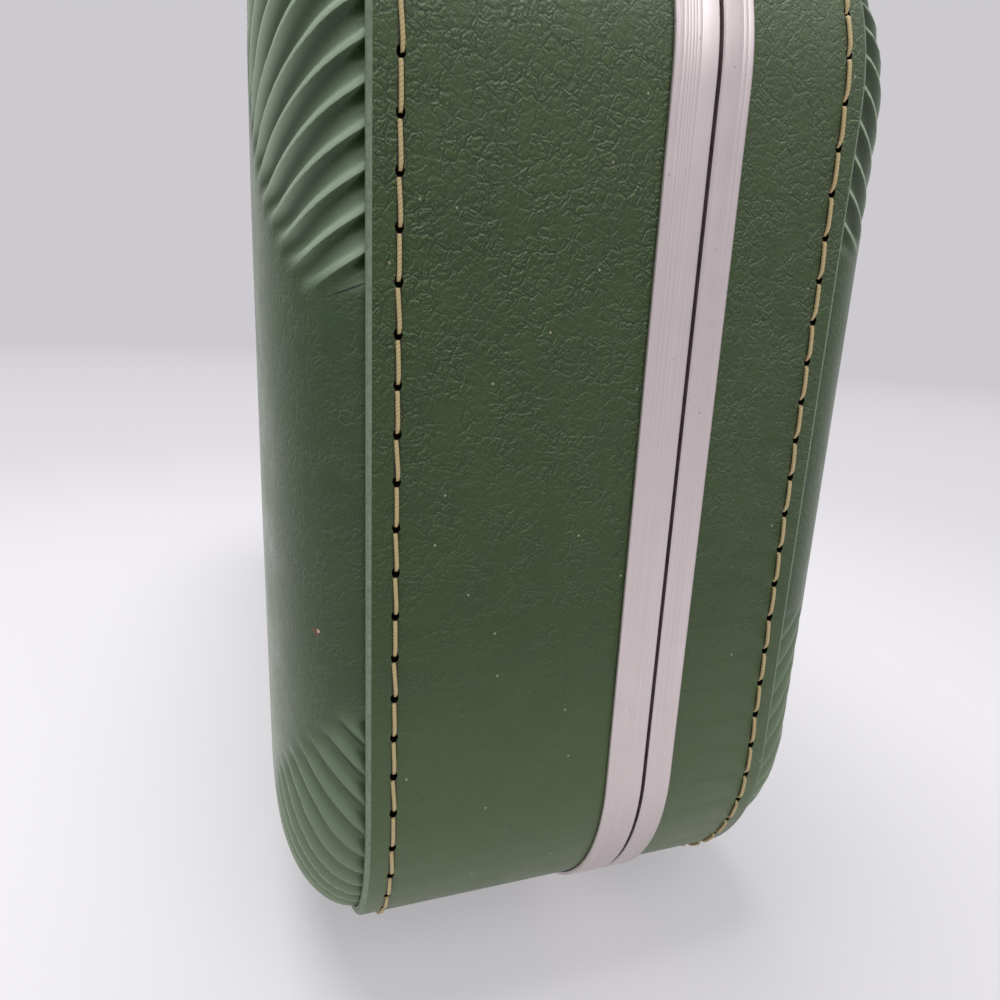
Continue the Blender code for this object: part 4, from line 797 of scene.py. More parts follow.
# Each rail: its width, its drawn lines and their depth, and its inner (inset, depth) outline.
rail_sections = {
    "body": (10.6 * mm, (4.9, 6.0, 6.7, 7.5, 8.2, 9.2), 0.035 * mm,
             [(5.8, 1.7), (5.8, 9.0), (7.3, 9.0), (7.3, -4.0), (6.3, -4.0), (6.3, 0.5)]),
    "lid": (7.75 * mm, (5.3, 6.5), 0.03 * mm,
            [(4.8, 1.7), (4.8, 6.5), (5.8, 6.5), (5.8, 0.5)])}
for half, side, body in (("body", 1, "body_half"), ("lid", -1, "lid")):
    width, lines, line_depth, inner = rail_sections[half]
    section = [(-proud + 0.35 * mm, 0.5 * mm), (-proud, 0.85 * mm)]
    for line in lines:
        section += [(-proud, line * mm - line_width / 2), (-proud + line_depth, line * mm),
                    (-proud, line * mm + line_width / 2)]
    section += [(-proud, width), (-proud + 0.2 * mm, width + 0.35 * mm),
                (-proud + 0.5 * mm, width + 0.5 * mm), (-wall_gap, width + 0.5 * mm),
                (-wall_gap, 1.7 * mm)]
    section += [(inset * mm, depth * mm) for inset, depth in inner]
    bm = sweep_round(section, side, turn_steps=32)
    wrap_uv(bm)
    rail = add_piece(f"{half}_aluminium_rail", bm, satin_aluminium, body, 20)
    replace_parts(rail, f"{half}_rail")


# Linings
# Trays of thin card with plain-woven rayon glued over them, sprung into the panels. The threads
# give a soft lustre, and the glue has left slow ripples.
lining_wall, lining_inset, lining_steps = 1 * mm, 7.6 * mm, 12


def cloth_uv(bm):
    """A UV layer that follows the cloth, in metres: over the floor, or round and up the sides."""
    cloth = bm.loops.layers.uv.new("cloth")
    for face in bm.faces:
        floor = abs(face.normal.y) > 0.75
        for loop in face.loops:
            x, y, z = loop.vert.co
            loop[cloth].uv = (x, z) if floor else (round_place(x, z)[0], y)


def woven_cloth(name, shadow, light, pitch, roughness):
    """Plain-woven cloth on a "cloth" UV in metres, its threads a pitch apart in mm."""
    mat, tree, shader, at = new_material(name, light, roughness)
    shader.inputs["Sheen Weight"].default_value = 0.3
    shader.inputs["Sheen Roughness"].default_value = 0.4
    cloth = uv_in_mm(tree, "cloth")
    parts = add_node(tree, "ShaderNodeSeparateXYZ", {0: cloth})
    waves, slubs = [], []
    for way, scale in ((0, (0.08, 1.1, 1.0)), (1, (1.1, 0.08, 1.0))):
        turned = add_node(tree, "ShaderNodeMath", {0: parts.outputs[way], 1: math.pi / pitch},
                          operation="MULTIPLY")
        waves.append(add_node(tree, "ShaderNodeMath", {0: turned.outputs[0]}, operation="SINE"))
        drawn = add_node(tree, "ShaderNodeMapping", {"Vector": cloth, "Scale": scale})
        slubs.append(add_node(tree, "ShaderNodeTexNoise", {"Vector": drawn.outputs[0], "Scale": 1.0,
                                                           "Detail": 2.0}))
    checks = add_node(tree, "ShaderNodeMath", {0: waves[0].outputs[0], 1: waves[1].outputs[0]},
                      operation="MULTIPLY")
    slub = add_node(tree, "ShaderNodeMath", {0: slubs[0].outputs[0], 1: slubs[1].outputs[0]})
    lift = add_node(tree, "ShaderNodeMath", {0: checks.outputs[0], 1: 0.25, 2: slub.outputs[0]},
                    operation="MULTIPLY_ADD")
    share = add_node(tree, "ShaderNodeMapRange", {"Value": lift.outputs[0], "From Min": 0.65,
                                                  "From Max": 1.35})
    aged = add_node(tree, "ShaderNodeTexNoise", {"Vector": at, "Scale": 0.02, "Detail": 3.0})
    aged = add_node(tree, "ShaderNodeMapRange", {"Value": aged.outputs[0], "From Min": 0.45,
                                                 "From Max": 0.75, "To Min": 0.0, "To Max": 0.35})
    tone = add_node(tree, "ShaderNodeMix", {"Factor": share.outputs[0], 6: linear(shadow),
                                            7: linear(light)}, data_type="RGBA")
    tone = add_node(tree, "ShaderNodeMix", {"Factor": aged.outputs[0], 6: tone.outputs[2],
                                            7: linear(shadow)}, data_type="RGBA")
    tree.links.new(tone.outputs[2], shader.inputs["Base Color"])
    ripple = add_node(tree, "ShaderNodeTexNoise", {"Vector": at, "Scale": 0.03, "Detail": 2.0})
    relief = add_node(tree, "ShaderNodeMath", {0: ripple.outputs[0], 1: 4.0, 2: lift.outputs[0]},
                      operation="MULTIPLY_ADD")
    bump = add_node(tree, "ShaderNodeBump", {"Height": relief.outputs[0], "Strength": 0.5,
                                             "Distance": 0.0004})
    tree.links.new(bump.outputs[0], shader.inputs["Normal"])
    return mat


# Rayon threads lie about 0.4 mm apart; they are drawn 1.4 mm apart so that they show.
lining_rayon = woven_cloth("lining_rayon", "9A8D6E", "C4B898", 1.4, 0.55)
for half, side, depth, start, body in (("body", 1, body_depth, 2.2 * mm, "body_half"),
                                       ("lid", -1, lid_depth, 7.5 * mm, "lid")):
    bulge, reach = rim_shapes[half]
    turn_inset, rise = flange_inset + reach, bulge - panel_wall - wall_gap
    outer, inner = [], []
    for number in range(lining_steps + 1):
        angle = math.radians(90) * number / lining_steps
        turned = (turn_inset - lining_inset) * math.cos(angle)
        outer.append((turn_inset - turned, depth + rise * math.sin(angle)))
        inner.append((turn_inset - turned * (1 - lining_wall / (turn_inset - lining_inset)),
                      depth + (rise - lining_wall) * math.sin(angle)))
    section = outer[::-1] + [(lining_inset, start), (lining_inset + lining_wall, start)] + inner
    bm = sweep_round(section, side, closed=False, turn_steps=32)
    borders = [edge for edge in bm.edges if edge.is_boundary]
    for level in (depth + rise, depth + rise - lining_wall):
        loop = [edge for edge in borders if abs(edge.verts[0].co.y - case_y(side, level)) < lining_wall / 3]
        bmesh.ops.contextual_create(bm, geom=loop)
    bmesh.ops.recalc_face_normals(bm, faces=bm.faces[:])
    cloth_uv(bm)
    tray = add_piece(f"{half}_cloth_lining", bm, lining_rayon, body, 30)
    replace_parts(tray, f"{half}_lining")


# Packing straps
# Two bands of ribbed cotton webbing across the deep half's floor. Each runs through a sliding
# buckle, over its middle bar, and is gripped at both ends by a riveted anchor plate.
def add_lathe_work(bm, profile, spot, axis, steps=24):
    """Add a solid turned from a (radius, height) profile in mm about an axis through a spot."""
    work = bmesh.new()
    verts = [work.verts.new((radius * mm, 0, height * mm)) for radius, height in profile]
    edges = [work.edges.new(pair) for pair in zip(verts, verts[1:])]
    bmesh.ops.spin(work, geom=verts + edges, cent=(0, 0, 0), axis=(0, 0, 1), angle=math.radians(360),
                   steps=steps, use_merge=True)
    bmesh.ops.remove_doubles(work, verts=work.verts[:], dist=1e-6)
    bmesh.ops.recalc_face_normals(work, faces=work.faces[:])
    turn = Vector((0, 0, 1)).rotation_difference(Vector(axis)).to_matrix().to_4x4()
    bmesh.ops.transform(work, matrix=Matrix.Translation(spot) @ turn, verts=work.verts[:])
    turned = bpy.data.meshes.new("turned")
    work.to_mesh(turned)
    work.free()
    bm.from_mesh(turned)
    bpy.data.meshes.remove(turned)


def eased_copy(node, width):
    """A CAD node's solid with its loose triangles merged and its edges rounded over by a width."""
    bm = bmesh.new()
    bm.from_mesh(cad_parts[node].data)
    bmesh.ops.remove_doubles(bm, verts=bm.verts[:], dist=1e-6)
    bmesh.ops.dissolve_limit(bm, angle_limit=math.radians(1.5), verts=bm.verts[:], edges=bm.edges[:])
    sharp = [edge for edge in bm.edges if edge.calc_face_angle(0) > math.radians(40)]
    bmesh.ops.bevel(bm, geom=sharp, offset=width, offset_type="OFFSET", segments=2, profile=0.5,
                    affect="EDGES", material=-1, clamp_overlap=True)
    return bm


rivet_profile = [(0, -0.4), (2.15, -0.4), (2.15, 0.2), (2.0, 0.55), (1.65, 0.85), (1.1, 1.06), (0.5, 1.17),
                 (0, 1.2)]

# Nickel plate on pressed steel: bright, a little warm, with hairline scratches, finger marks and
# dull spots where the plating has clouded.
nickel, tree, shader, at = new_material("nickel_plated_steel", "C9C6BF", 0.26, 1.0)
cloud = add_node(tree, "ShaderNodeTexNoise", {"Vector": at, "Scale": 0.11, "Detail": 5.0})
dull = add_node(tree, "ShaderNodeMapRange", {"Value": cloud.outputs[0], "From Min": 0.48,
                                             "From Max": 0.72, "To Min": 0.0, "To Max": 0.6})
marks = []
for turn, scale in ((0.5, (0.12, 4.5, 0.6)), (-0.9, (0.16, 5.5, 0.7))):
    laid = add_node(tree, "ShaderNodeMapping", {"Vector": at, "Rotation": (0.2, 0.1, turn), "Scale": scale})
    hairs = add_node(tree, "ShaderNodeTexNoise", {"Vector": laid.outputs[0], "Scale": 1.0, "Detail": 2.0})
    marks.append(add_node(tree, "ShaderNodeMapRange", {"Value": hairs.outputs[0], "From Min": 0.62,
                                                       "From Max": 0.7}).outputs[0])
marks = add_node(tree, "ShaderNodeMath", {0: marks[0], 1: marks[1]}, operation="MAXIMUM")
tone = add_node(tree, "ShaderNodeMix", {"Factor": dull.outputs[0], 6: linear("CFCCC5"), 7: linear("938C7C")},
                data_type="RGBA")
tone = add_node(tree, "ShaderNodeMix", {"Factor": marks.outputs[0], 6: tone.outputs[2],
                                        7: linear("A8A49A")}, data_type="RGBA")
tree.links.new(tone.outputs[2], shader.inputs["Base Color"])
wear_and_sheen = add_node(tree, "ShaderNodeMapRange", {"Value": cloud.outputs[0], "From Min": 0.35,
                                             "From Max": 0.7, "To Min": 0.17, "To Max": 0.42})
tree.links.new(wear_and_sheen.outputs[0], shader.inputs["Roughness"])
bump = add_node(tree, "ShaderNodeBump", {"Height": marks.outputs[0], "Strength": 0.12,
                                         "Distance": 0.00005})
tree.links.new(bump.outputs[0], shader.inputs["Normal"])

# Ribs run across the webbing 2.2 mm apart, with a chevron in each.
webbing, tree, shader, at = new_material("cotton_webbing", "6E6247", 0.75)
shader.inputs["Sheen Weight"].default_value = 0.25
parts = add_node(tree, "ShaderNodeSeparateXYZ", {0: at})
slant = add_node(tree, "ShaderNodeMath", {0: parts.outputs[0], 1: 1.6}, operation="PINGPONG")
slant = add_node(tree, "ShaderNodeMath", {0: slant.outputs[0], 1: 0.9, 2: parts.outputs[2]},
                 operation="MULTIPLY_ADD")
ribs = add_node(tree, "ShaderNodeMath", {0: slant.outputs[0], 1: math.pi / 1.1}, operation="MULTIPLY")
ribs = add_node(tree, "ShaderNodeMath", {0: ribs.outputs[0]}, operation="SINE")
fuzz = add_node(tree, "ShaderNodeTexNoise", {"Vector": at, "Scale": 1.6, "Detail": 4.0})
lift = add_node(tree, "ShaderNodeMath", {0: ribs.outputs[0], 1: 0.4, 2: fuzz.outputs[0]},
                operation="MULTIPLY_ADD")
share = add_node(tree, "ShaderNodeMapRange", {"Value": lift.outputs[0], "From Min": 0.1, "From Max": 0.95})
tone = add_node(tree, "ShaderNodeMix", {"Factor": share.outputs[0], 6: linear("4E4530"),
                                        7: linear("83775A")}, data_type="RGBA")
tree.links.new(tone.outputs[2], shader.inputs["Base Color"])
bump = add_node(tree, "ShaderNodeBump", {"Height": lift.outputs[0], "Strength": 0.6, "Distance": 0.0004})
tree.links.new(bump.outputs[0], shader.inputs["Normal"])

strap_x, strap_half_width, strap_half_length, strap_thick = 85 * mm, 12.5 * mm, 91 * mm, 1.4 * mm
strap_depth, over_bar_depth = 87.8 * mm, 83.1 * mm
anchor_middle, buckle_window, buckle_bar = 97.3 * mm, 10.6 * mm, 2.4 * mm
strap_pitch, strap_tuck = 1.3 * mm, 6 * mm
slack_run, slack_depth, slack_wave = 20 * mm, 0.5 * mm, 11 * mm
anchor_rivets = (-10, 10)
for label, out in (("left", -1), ("right", 1)):
    bm = bmesh.new()
    ring = bmesh.ops.create_circle(bm, segments=20, radius=strap_thick / 2)["verts"]
    for vert in ring:
        vert.co.x += math.copysign(strap_half_width - strap_thick / 2, vert.co.x) + out * strap_x
        vert.co.z = centre_z - strap_half_length
    steps = round(2 * strap_half_length / strap_pitch)
    bmesh.ops.contextual_create(bm, geom=bm.edges[:])
    bmesh.ops.spin(bm, geom=bm.edges[:], cent=(0, 0, 0), axis=(1, 0, 0), angle=0, steps=steps,
                   dvec=(0, 0, 2 * strap_half_length / steps))
    last = [edge for edge in bm.edges if edge.is_boundary
            and abs(edge.verts[0].co.z - centre_z - strap_half_length) < strap_pitch / 2]
    bmesh.ops.contextual_create(bm, geom=last)
    for vert in bm.verts:
        away = abs(vert.co.z - centre_z)
        share = min(max((away - buckle_bar) / (buckle_window - buckle_bar), 0), 1)
        slack = max(min((away - slack_run) / slack_run, (strap_half_length - away) / slack_run, 1), 0)
        ease = share * share * (3 - 2 * share)
        depth = over_bar_depth + (strap_depth - over_bar_depth) * ease
        depth -= slack_depth * slack * (1 + math.sin(vert.co.z / slack_wave + out))
        vert.co.y += case_y(1, depth)
    bmesh.ops.recalc_face_normals(bm, faces=bm.faces[:])
    strap = add_piece(f"webbing_strap_{label}", bm, webbing, "body_half", 50)
    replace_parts(strap, f"packing_strap_{label}")
    for end, up_or_down in (("lower", -1), ("upper", 1)):
        node = f"packing_anchor_{label}_{end}"
        bm = eased_copy(node, 0.5 * mm)
        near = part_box(node)[0][1]
        for step in anchor_rivets:
            add_lathe_work(bm, rivet_profile, (out * strap_x + step * mm, near,
                                               centre_z + up_or_down * anchor_middle), (0, -1, 0))
        anchor = add_piece(f"strap_anchor_{label}_{end}", bm, nickel, "body_half")
        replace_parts(anchor, node)
    buckle = add_piece(f"strap_buckle_{label}", eased_copy(f"packing_buckle_{label}", 0.6 * mm), nickel,
                       "body_half")
    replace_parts(buckle, f"packing_buckle_{label}")


# Pocket
# A pouch of the lining's rayon sewn to the lid's lining along three sides and gathered into a
# woven elastic tape along its mouth, which pulls it into upright folds.
pocket_rayon = woven_cloth("pocket_rayon", "85785A", "B5A888", 1.4, 0.6)
pocket_half, pocket_low, pocket_mouth = 140 * mm, 52 * mm, 182.6 * mm
pocket_back = -73.45 * mm
gathers, gather_lift, belly = 27, 1.5 * mm, 3.4 * mm
side_ease, base_ease, cloth_thick = 16 * mm, 18 * mm, 0.4 * mm
cloth_fullness = 1.14
bm = bmesh.new()
bmesh.ops.create_grid(bm, x_segments=280, y_segments=56, size=1)
cloth = bm.loops.layers.uv.new("cloth")
for vert in bm.verts:
    across, rise = vert.co.x, (vert.co.y + 1) / 2
    sewn = min((1 - abs(across)) * pocket_half / side_ease,
               rise * (pocket_mouth - pocket_low) / base_ease, 1)
    sewn = sewn * sewn * (3 - 2 * sewn)
    drift = 0.35 * math.sin(5 * across + 2.2 * rise) + 0.12 * math.sin(17 * across)
    fold = math.sin(math.pi * gathers * across + math.tau * drift * (1.5 - rise))
    fold += 0.4 * math.sin(math.pi * gathers * 0.37 * across + 3 * rise)
    lift = 0.55 * mm + sewn * (belly * (0.35 + 0.65 * math.sin(math.pi * (0.12 + 0.68 * rise)))
                               + gather_lift * (0.15 + 0.85 * rise ** 1.6) * fold)
    vert.co = (across * pocket_half, pocket_back + max(lift, cloth_thick),
               pocket_low + (pocket_mouth - pocket_low) * rise)
for face in bm.faces:
    for loop in face.loops:
        loop[cloth].uv = (loop.vert.co.x * cloth_fullness, loop.vert.co.z)
bmesh.ops.recalc_face_normals(bm, faces=bm.faces[:])
bmesh.ops.solidify(bm, geom=bm.faces[:], thickness=cloth_thick)
pocket = add_piece("gathered_pocket", bm, pocket_rayon, "lid", 60)
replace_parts(pocket, "lid_pocket")

# Rubber cores under cotton threads pull the tape into close ruches.
elastic_weave, tree, shader, at = new_material("woven_elastic", "8E8164", 0.7)
shader.inputs["Sheen Weight"].default_value = 0.2
parts = add_node(tree, "ShaderNodeSeparateXYZ", {0: at})
cores = add_node(tree, "ShaderNodeMath", {0: parts.outputs[2], 1: math.tau / 1.5}, operation="MULTIPLY")
cores = add_node(tree, "ShaderNodeMath", {0: cores.outputs[0]}, operation="SINE")
threads = add_node(tree, "ShaderNodeMapping", {"Vector": at, "Scale": (2.4, 1.0, 0.3)})
threads = add_node(tree, "ShaderNodeTexNoise", {"Vector": threads.outputs[0], "Scale": 1.0, "Detail": 3.0})
lift = add_node(tree, "ShaderNodeMath", {0: cores.outputs[0], 1: 0.35, 2: threads.outputs[0]},
                operation="MULTIPLY_ADD")
share = add_node(tree, "ShaderNodeMapRange", {"Value": lift.outputs[0], "From Min": 0.15, "From Max": 0.9})
tone = add_node(tree, "ShaderNodeMix", {"Factor": share.outputs[0], 6: linear("6C6047"),
                                        7: linear("A39677")}, data_type="RGBA")
tree.links.new(tone.outputs[2], shader.inputs["Base Color"])
bump = add_node(tree, "ShaderNodeBump", {"Height": lift.outputs[0], "Strength": 0.6, "Distance": 0.0003})
tree.links.new(bump.outputs[0], shader.inputs["Normal"])
tape_low, tape_height, tape_thick, tape_steps = 182.3 * mm, 12 * mm, 1.5 * mm, 320
ruches, ruche_lift = 70, 0.75 * mm
bm = bmesh.new()
ring = bmesh.ops.create_circle(bm, segments=20, radius=tape_thick / 2)["verts"]
for vert in ring:
    low_or_high = math.copysign(tape_height / 2 - tape_thick / 2, vert.co.x)
    vert.co = (-pocket_half, pocket_back + 2.1 * mm + vert.co.y,
               tape_low + tape_height / 2 + vert.co.x + low_or_high)
bmesh.ops.contextual_create(bm, geom=bm.edges[:])
bmesh.ops.spin(bm, geom=bm.edges[:], cent=(0, 0, 0), axis=(1, 0, 0), angle=0, steps=tape_steps,
               dvec=(2 * pocket_half / tape_steps, 0, 0))
bmesh.ops.contextual_create(bm, geom=[edge for edge in bm.edges if edge.is_boundary
                                      and edge.verts[0].co.x > 0])
for vert in bm.verts:
    share = vert.co.x / pocket_half
    held = min((1 - abs(share)) * 14, 1)
    vert.co.y += ruche_lift * math.sin(math.pi * ruches * share + 1.4 * math.sin(9 * share)) * held
bmesh.ops.recalc_face_normals(bm, faces=bm.faces[:])
elastic = add_piece("pocket_elastic_tape", bm, elastic_weave, "lid", 60)
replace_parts(elastic, "lid_pocket_elastic")


# Hinges
# Two on the side that the case stands on: pressed leaves under the rails with domed rivets, rolled
# knuckles, and a plain steel wire through them.
steel_wire, tree, shader, at = new_material("bare_steel_wire", "8F8F8F", 0.34, 1.0)
rust = add_node(tree, "ShaderNodeTexNoise", {"Vector": at, "Scale": 0.6, "Detail": 4.0})
share = add_node(tree, "ShaderNodeMapRange", {"Value": rust.outputs[0], "From Min": 0.5, "From Max": 0.75,
                                              "To Min": 0.0, "To Max": 0.7})
tone = add_node(tree, "ShaderNodeMix", {"Factor": share.outputs[0], 6: linear("9A9A98"),
                                        7: linear("6B5C4D")}, data_type="RGBA")
tree.links.new(tone.outputs[2], shader.inputs["Base Color"])
wear_and_sheen = add_node(tree, "ShaderNodeMapRange", {"Value": rust.outputs[0], "To Min": 0.25, "To Max": 0.5})
tree.links.new(wear_and_sheen.outputs[0], shader.inputs["Roughness"])


def pin(name, node, radius, body):
    """A wire pin with rounded ends, in place of a CAD pin that lies along X."""
    (low, _, low_z), (high, far_y, high_z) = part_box(node)
    length, edge = (high - low) / mm, 0.25
    bm = bmesh.new()
    add_lathe_work(bm, [(0, 0), (radius - edge, 0), (radius, edge), (radius, length - edge),
                        (radius - edge, length), (0, length)],
                   (low, far_y - radius * mm, (low_z + high_z) / 2), (1, 0, 0), 20)
    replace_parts(add_piece(name, bm, steel_wire, body, 50), node)


hinge_x, rivet_step, leaf_z = 85 * mm, 14.5 * mm, 4.4 * mm
for label, out in (("left", -1), ("right", 1)):
    for half, rivet_y, body in (("body", -8.4 * mm, "body_half"), ("lid", -20.475 * mm, "lid")):
        bm = eased_copy(f"hinge_{label}_{half}_leaf", 0.2 * mm)
        for step in (-1, 0, 1):
            add_lathe_work(bm, rivet_profile, (out * hinge_x + step * rivet_step, rivet_y, leaf_z),
                           (0, 0, -1))
        leaf = add_piece(f"hinge_{label}_{half}_plate", bm, nickel, body)
        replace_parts(leaf, f"hinge_{label}_{half}_leaf")
    pin(f"hinge_{label}_wire", f"hinge_{label}_pin", 0.9, "body_half")


# Latches
# Pressed, nickel-plated and riveted to the top: a housing on the deep half holds a thumb slide and
# its spring beside a turned brass key cylinder, and a hasp on the shallow half folds over the gap.
spring_wire, tree, shader, at = new_material("dark_spring_wire", "6F7072", 0.35, 1.0)
oiled = add_node(tree, "ShaderNodeTexNoise", {"Vector": at, "Scale": 0.8, "Detail": 3.0})
tone = add_node(tree, "ShaderNodeMix", {"Factor": oiled.outputs[0], 6: linear("4E5053"),
                                        7: linear("8A8A88")}, data_type="RGBA")
tree.links.new(tone.outputs[2], shader.inputs["Base Color"])
brass, tree, shader, at = new_material("turned_brass", "B89A55", 0.28, 1.0)
rubbing_and_highlight = add_node(tree, "ShaderNodeTexNoise", {"Vector": at, "Scale": 0.5, "Detail": 4.0})
tone = add_node(tree, "ShaderNodeMix", {"Factor": rubbing_and_highlight.outputs[0], 6: linear("8A6B30"),
                                        7: linear("D9BC78")}, data_type="RGBA")
tree.links.new(tone.outputs[2], shader.inputs["Base Color"])
wear_and_sheen = add_node(tree, "ShaderNodeMapRange", {"Value": rubbing_and_highlight.outputs[0], "To Min": 0.2, "To Max": 0.42})
tree.links.new(wear_and_sheen.outputs[0], shader.inputs["Roughness"])

latch_x, plate_top_z = 128 * mm, 297.6 * mm
plate_rivets = ((22.5, -9.35), (22.5, 7.35), (-22.5, -9.35), (3.5, -9.35))
keeper_rivets = ((-9.5, -19.525), (-9.5, -25.0), (9.5, -19.525), (9.5, -25.0))
bar_u, button_top_z, slide_y = -8.7 * mm, 304.9 * mm, 3.35 * mm
thumb_ribs, thumb_rib_size = (-2, -0.7, 0.7, 2), (0.55 * mm, 2.6 * mm, 0.6 * mm)
spring_ends, spring_z, spring_radius, spring_turns = (-22.2 * mm, -16.5 * mm), 299.7 * mm, 1.1 * mm, 5
for label, out in (("left", -1), ("right", 1)):
    latch, middle = f"latch_{label}", out * latch_x
    bm = eased_copy(f"{latch}_plate", 0.2 * mm)
    for u, y in plate_rivets:
        add_lathe_work(bm, rivet_profile, (middle + out * u * mm, y * mm, plate_top_z), (0, 0, 1))
    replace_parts(add_piece(f"{latch}_base", bm, nickel, "body_half"), f"{latch}_plate")

    bm = eased_copy(f"{latch}_lid_plate", 0.2 * mm)
    for x, y in keeper_rivets:
        add_lathe_work(bm, rivet_profile, (middle + out * bar_u + x * mm, y * mm, plate_top_z), (0, 0, 1))
    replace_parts(add_piece(f"{latch}_keeper", bm, nickel, "lid"), f"{latch}_lid_plate")

    bm = eased_copy(f"{latch}_slide", 0.25 * mm)
    for step in thumb_ribs:
        rib = bmesh.ops.create_cube(bm, size=1)["verts"]
        bmesh.ops.scale(bm, verts=rib, vec=thumb_rib_size)
        bmesh.ops.translate(bm, verts=rib, vec=(middle + out * bar_u + step * mm, slide_y, button_top_z))
    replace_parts(add_piece(f"{latch}_thumb_slide", bm, nickel, f"{label}_latch_slide"),
                f"{latch}_slide")
    for node, name, edge, body in (("case", "housing", 0.5, "body_half"),
                                   ("hasp", "hasp_strip", 0.25, f"{label}_hasp")):
        shell = add_piece(f"{latch}_{name}", eased_copy(f"{latch}_{node}", edge * mm), nickel, body)
        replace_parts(shell, f"{latch}_{node}")
    pin(f"{latch}_hasp_wire", f"{latch}_hasp_pin", 0.9, "lid")

    key = eased_copy(f"{latch}_key_cylinder", 0.25 * mm)
    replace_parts(add_piece(f"{latch}_key_plug", key, brass, f"{label}_key_cylinder", 30),
                f"{latch}_key_cylinder")

    start, end = (middle + out * u for u in spring_ends)
    bm = bmesh.new()
    ring = bmesh.ops.create_circle(bm, segments=8, radius=0.25 * mm)["verts"]
    bmesh.ops.translate(bm, verts=ring, vec=(start, slide_y + spring_radius, spring_z))
    bmesh.ops.contextual_create(bm, geom=bm.edges[:])
    steps = 20 * spring_turns
    last = bmesh.ops.spin(bm, geom=bm.edges[:], cent=(start, slide_y, spring_z), axis=(1, 0, 0),
                          angle=math.radians(360) * spring_turns, steps=steps,
                          dvec=((end - start) / steps, 0, 0))["geom_last"]
    bmesh.ops.contextual_create(bm, geom=[item for item in last if isinstance(item, bmesh.types.BMEdge)])
    bmesh.ops.recalc_face_normals(bm, faces=bm.faces[:])
    spring = add_piece(f"{latch}_coil", bm, spring_wire, "body_half", 60)
    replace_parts(spring, f"{latch}_spring")


# Handle
# A stiff core wrapped in the bands' green vinyl, sewn along the inside of the bow, with a nickel
# ferrule at each end; two steel eyes turn on pins in riveted brackets.
handle_y, handle_z, eye_x = 1.85 * mm, 303 * mm, 62 * mm
bow_bend, bow_reach, grip_start = 14 * mm, 32 * mm, 15 * mm
grip_across, grip_high = 7 * mm, 6.5 * mm
grip_vinyl, tree, shader, at = new_material("sewn_grip_vinyl", "3F5638", 0.42)
shader.inputs["Sheen Weight"].default_value = 0.12
grip_uv = uv_in_mm(tree, "grip")
crease, _, light, cloud = vinyl_grain(tree, grip_uv, 2.0, (0.25, 0.1, 0))
tone = add_node(tree, "ShaderNodeMix", {"Factor": cloud, 6: linear("34451F"), 7: linear("465A33")},
                data_type="RGBA")
# Painted highlight on the grain's lower lips.
rubbing_and_highlight = add_node(tree, "ShaderNodeMath", {0: light, 1: 0.6}, operation="MULTIPLY")
tone = add_node(tree, "ShaderNodeMix", {"Factor": rubbing_and_highlight.outputs[0], 6: tone.outputs[2],
                                        7: linear("56684A")}, data_type="RGBA")
tree.links.new(tone.outputs[2], shader.inputs["Base Color"])
relief = add_node(tree, "ShaderNodeMath", {0: crease, 1: -1.0, 2: 1.0}, operation="MULTIPLY_ADD")
bump = add_node(tree, "ShaderNodeBump", {"Height": relief.outputs[0], "Strength": 0.7, "Distance": 0.0004})
tree.links.new(bump.outputs[0], shader.inputs["Normal"])


def bow_place(length):
    """Centre and outward direction of the grip at a length along its path from the left end."""
    straight = bow_reach - bow_bend - grip_start
    corner = math.radians(90) * bow_bend
    half_top = eye_x - bow_bend
    total = 2 * (straight + corner + half_top)
    mirrored = length > total / 2
    run = total - length if mirrored else length
    if run < straight:
        x, y, angle = -eye_x, grip_start + run, math.radians(180)
    elif run < straight + corner:
        angle = math.radians(180) - (run - straight) / bow_bend
        x = -half_top + bow_bend * math.cos(angle)
        y = bow_reach - bow_bend + bow_bend * math.sin(angle)
    else:
        x, y, angle = -half_top + run - straight - corner, bow_reach, math.radians(90)
    out = Vector((math.cos(angle), math.sin(angle), 0))
    if mirrored:
        x, out.x = -x, -out.x
    return Vector((x, handle_y + y, handle_z)), out, total


bow_total = bow_place(0)[2]


def grip_girth(length):
    """The share of its full girth that the grip has at a length along it: less near its ends."""
    return 0.86 + 0.14 * min((1 - abs(length / bow_total * 2 - 1)) * 1.6, 1)


bm = bmesh.new()
ring = bmesh.ops.create_circle(bm, segments=36, radius=1)["verts"]
for vert in ring:
    angle = math.atan2(vert.co.y, vert.co.x)
    seam_off = math.pi - abs(angle)
    welt, beside = math.exp(-(seam_off / 0.13) ** 2), math.exp(-((seam_off - 0.42) / 0.16) ** 2)
    vert.co *= 1 + 0.16 * welt - 0.05 * beside
grip = bm.loops.layers.uv.new("grip")
edges, last_place, windings = bm.edges[:], Matrix.Identity(4), {}
bmesh.ops.contextual_create(bm, geom=edges)
stations = [(0, 0.78), (0.5, 0.88)] + [(1.2 + 1.6 * number, 1) for number in range(200)]
stations = [item for item in stations if item[0] * mm < bow_total / 2]
stations += [(bow_total / mm - length, size) for length, size in reversed(stations)]
for length, size in stations:
    spot, out, _ = bow_place(length * mm)
    size *= grip_girth(length * mm)
    along = out.cross(Vector((0, 0, 1)))
    turn = Matrix((out * grip_across * size, Vector((0, 0, 1)) * grip_high * size, along)).transposed()
    ring_place = Matrix.Translation(spot) @ turn.to_4x4()
    if windings:
        grown = bmesh.ops.extrude_edge_only(bm, edges=edges)["geom"]
        ring = [item for item in grown if isinstance(item, bmesh.types.BMVert)]
        edges = [item for item in grown if isinstance(item, bmesh.types.BMEdge) and item.is_boundary]
    for vert in ring:
        local = last_place.inverted() @ vert.co
        windings[vert] = (math.atan2(local.y, local.x) * grip_across, length * mm)
        vert.co = ring_place @ local
    last_place = ring_place
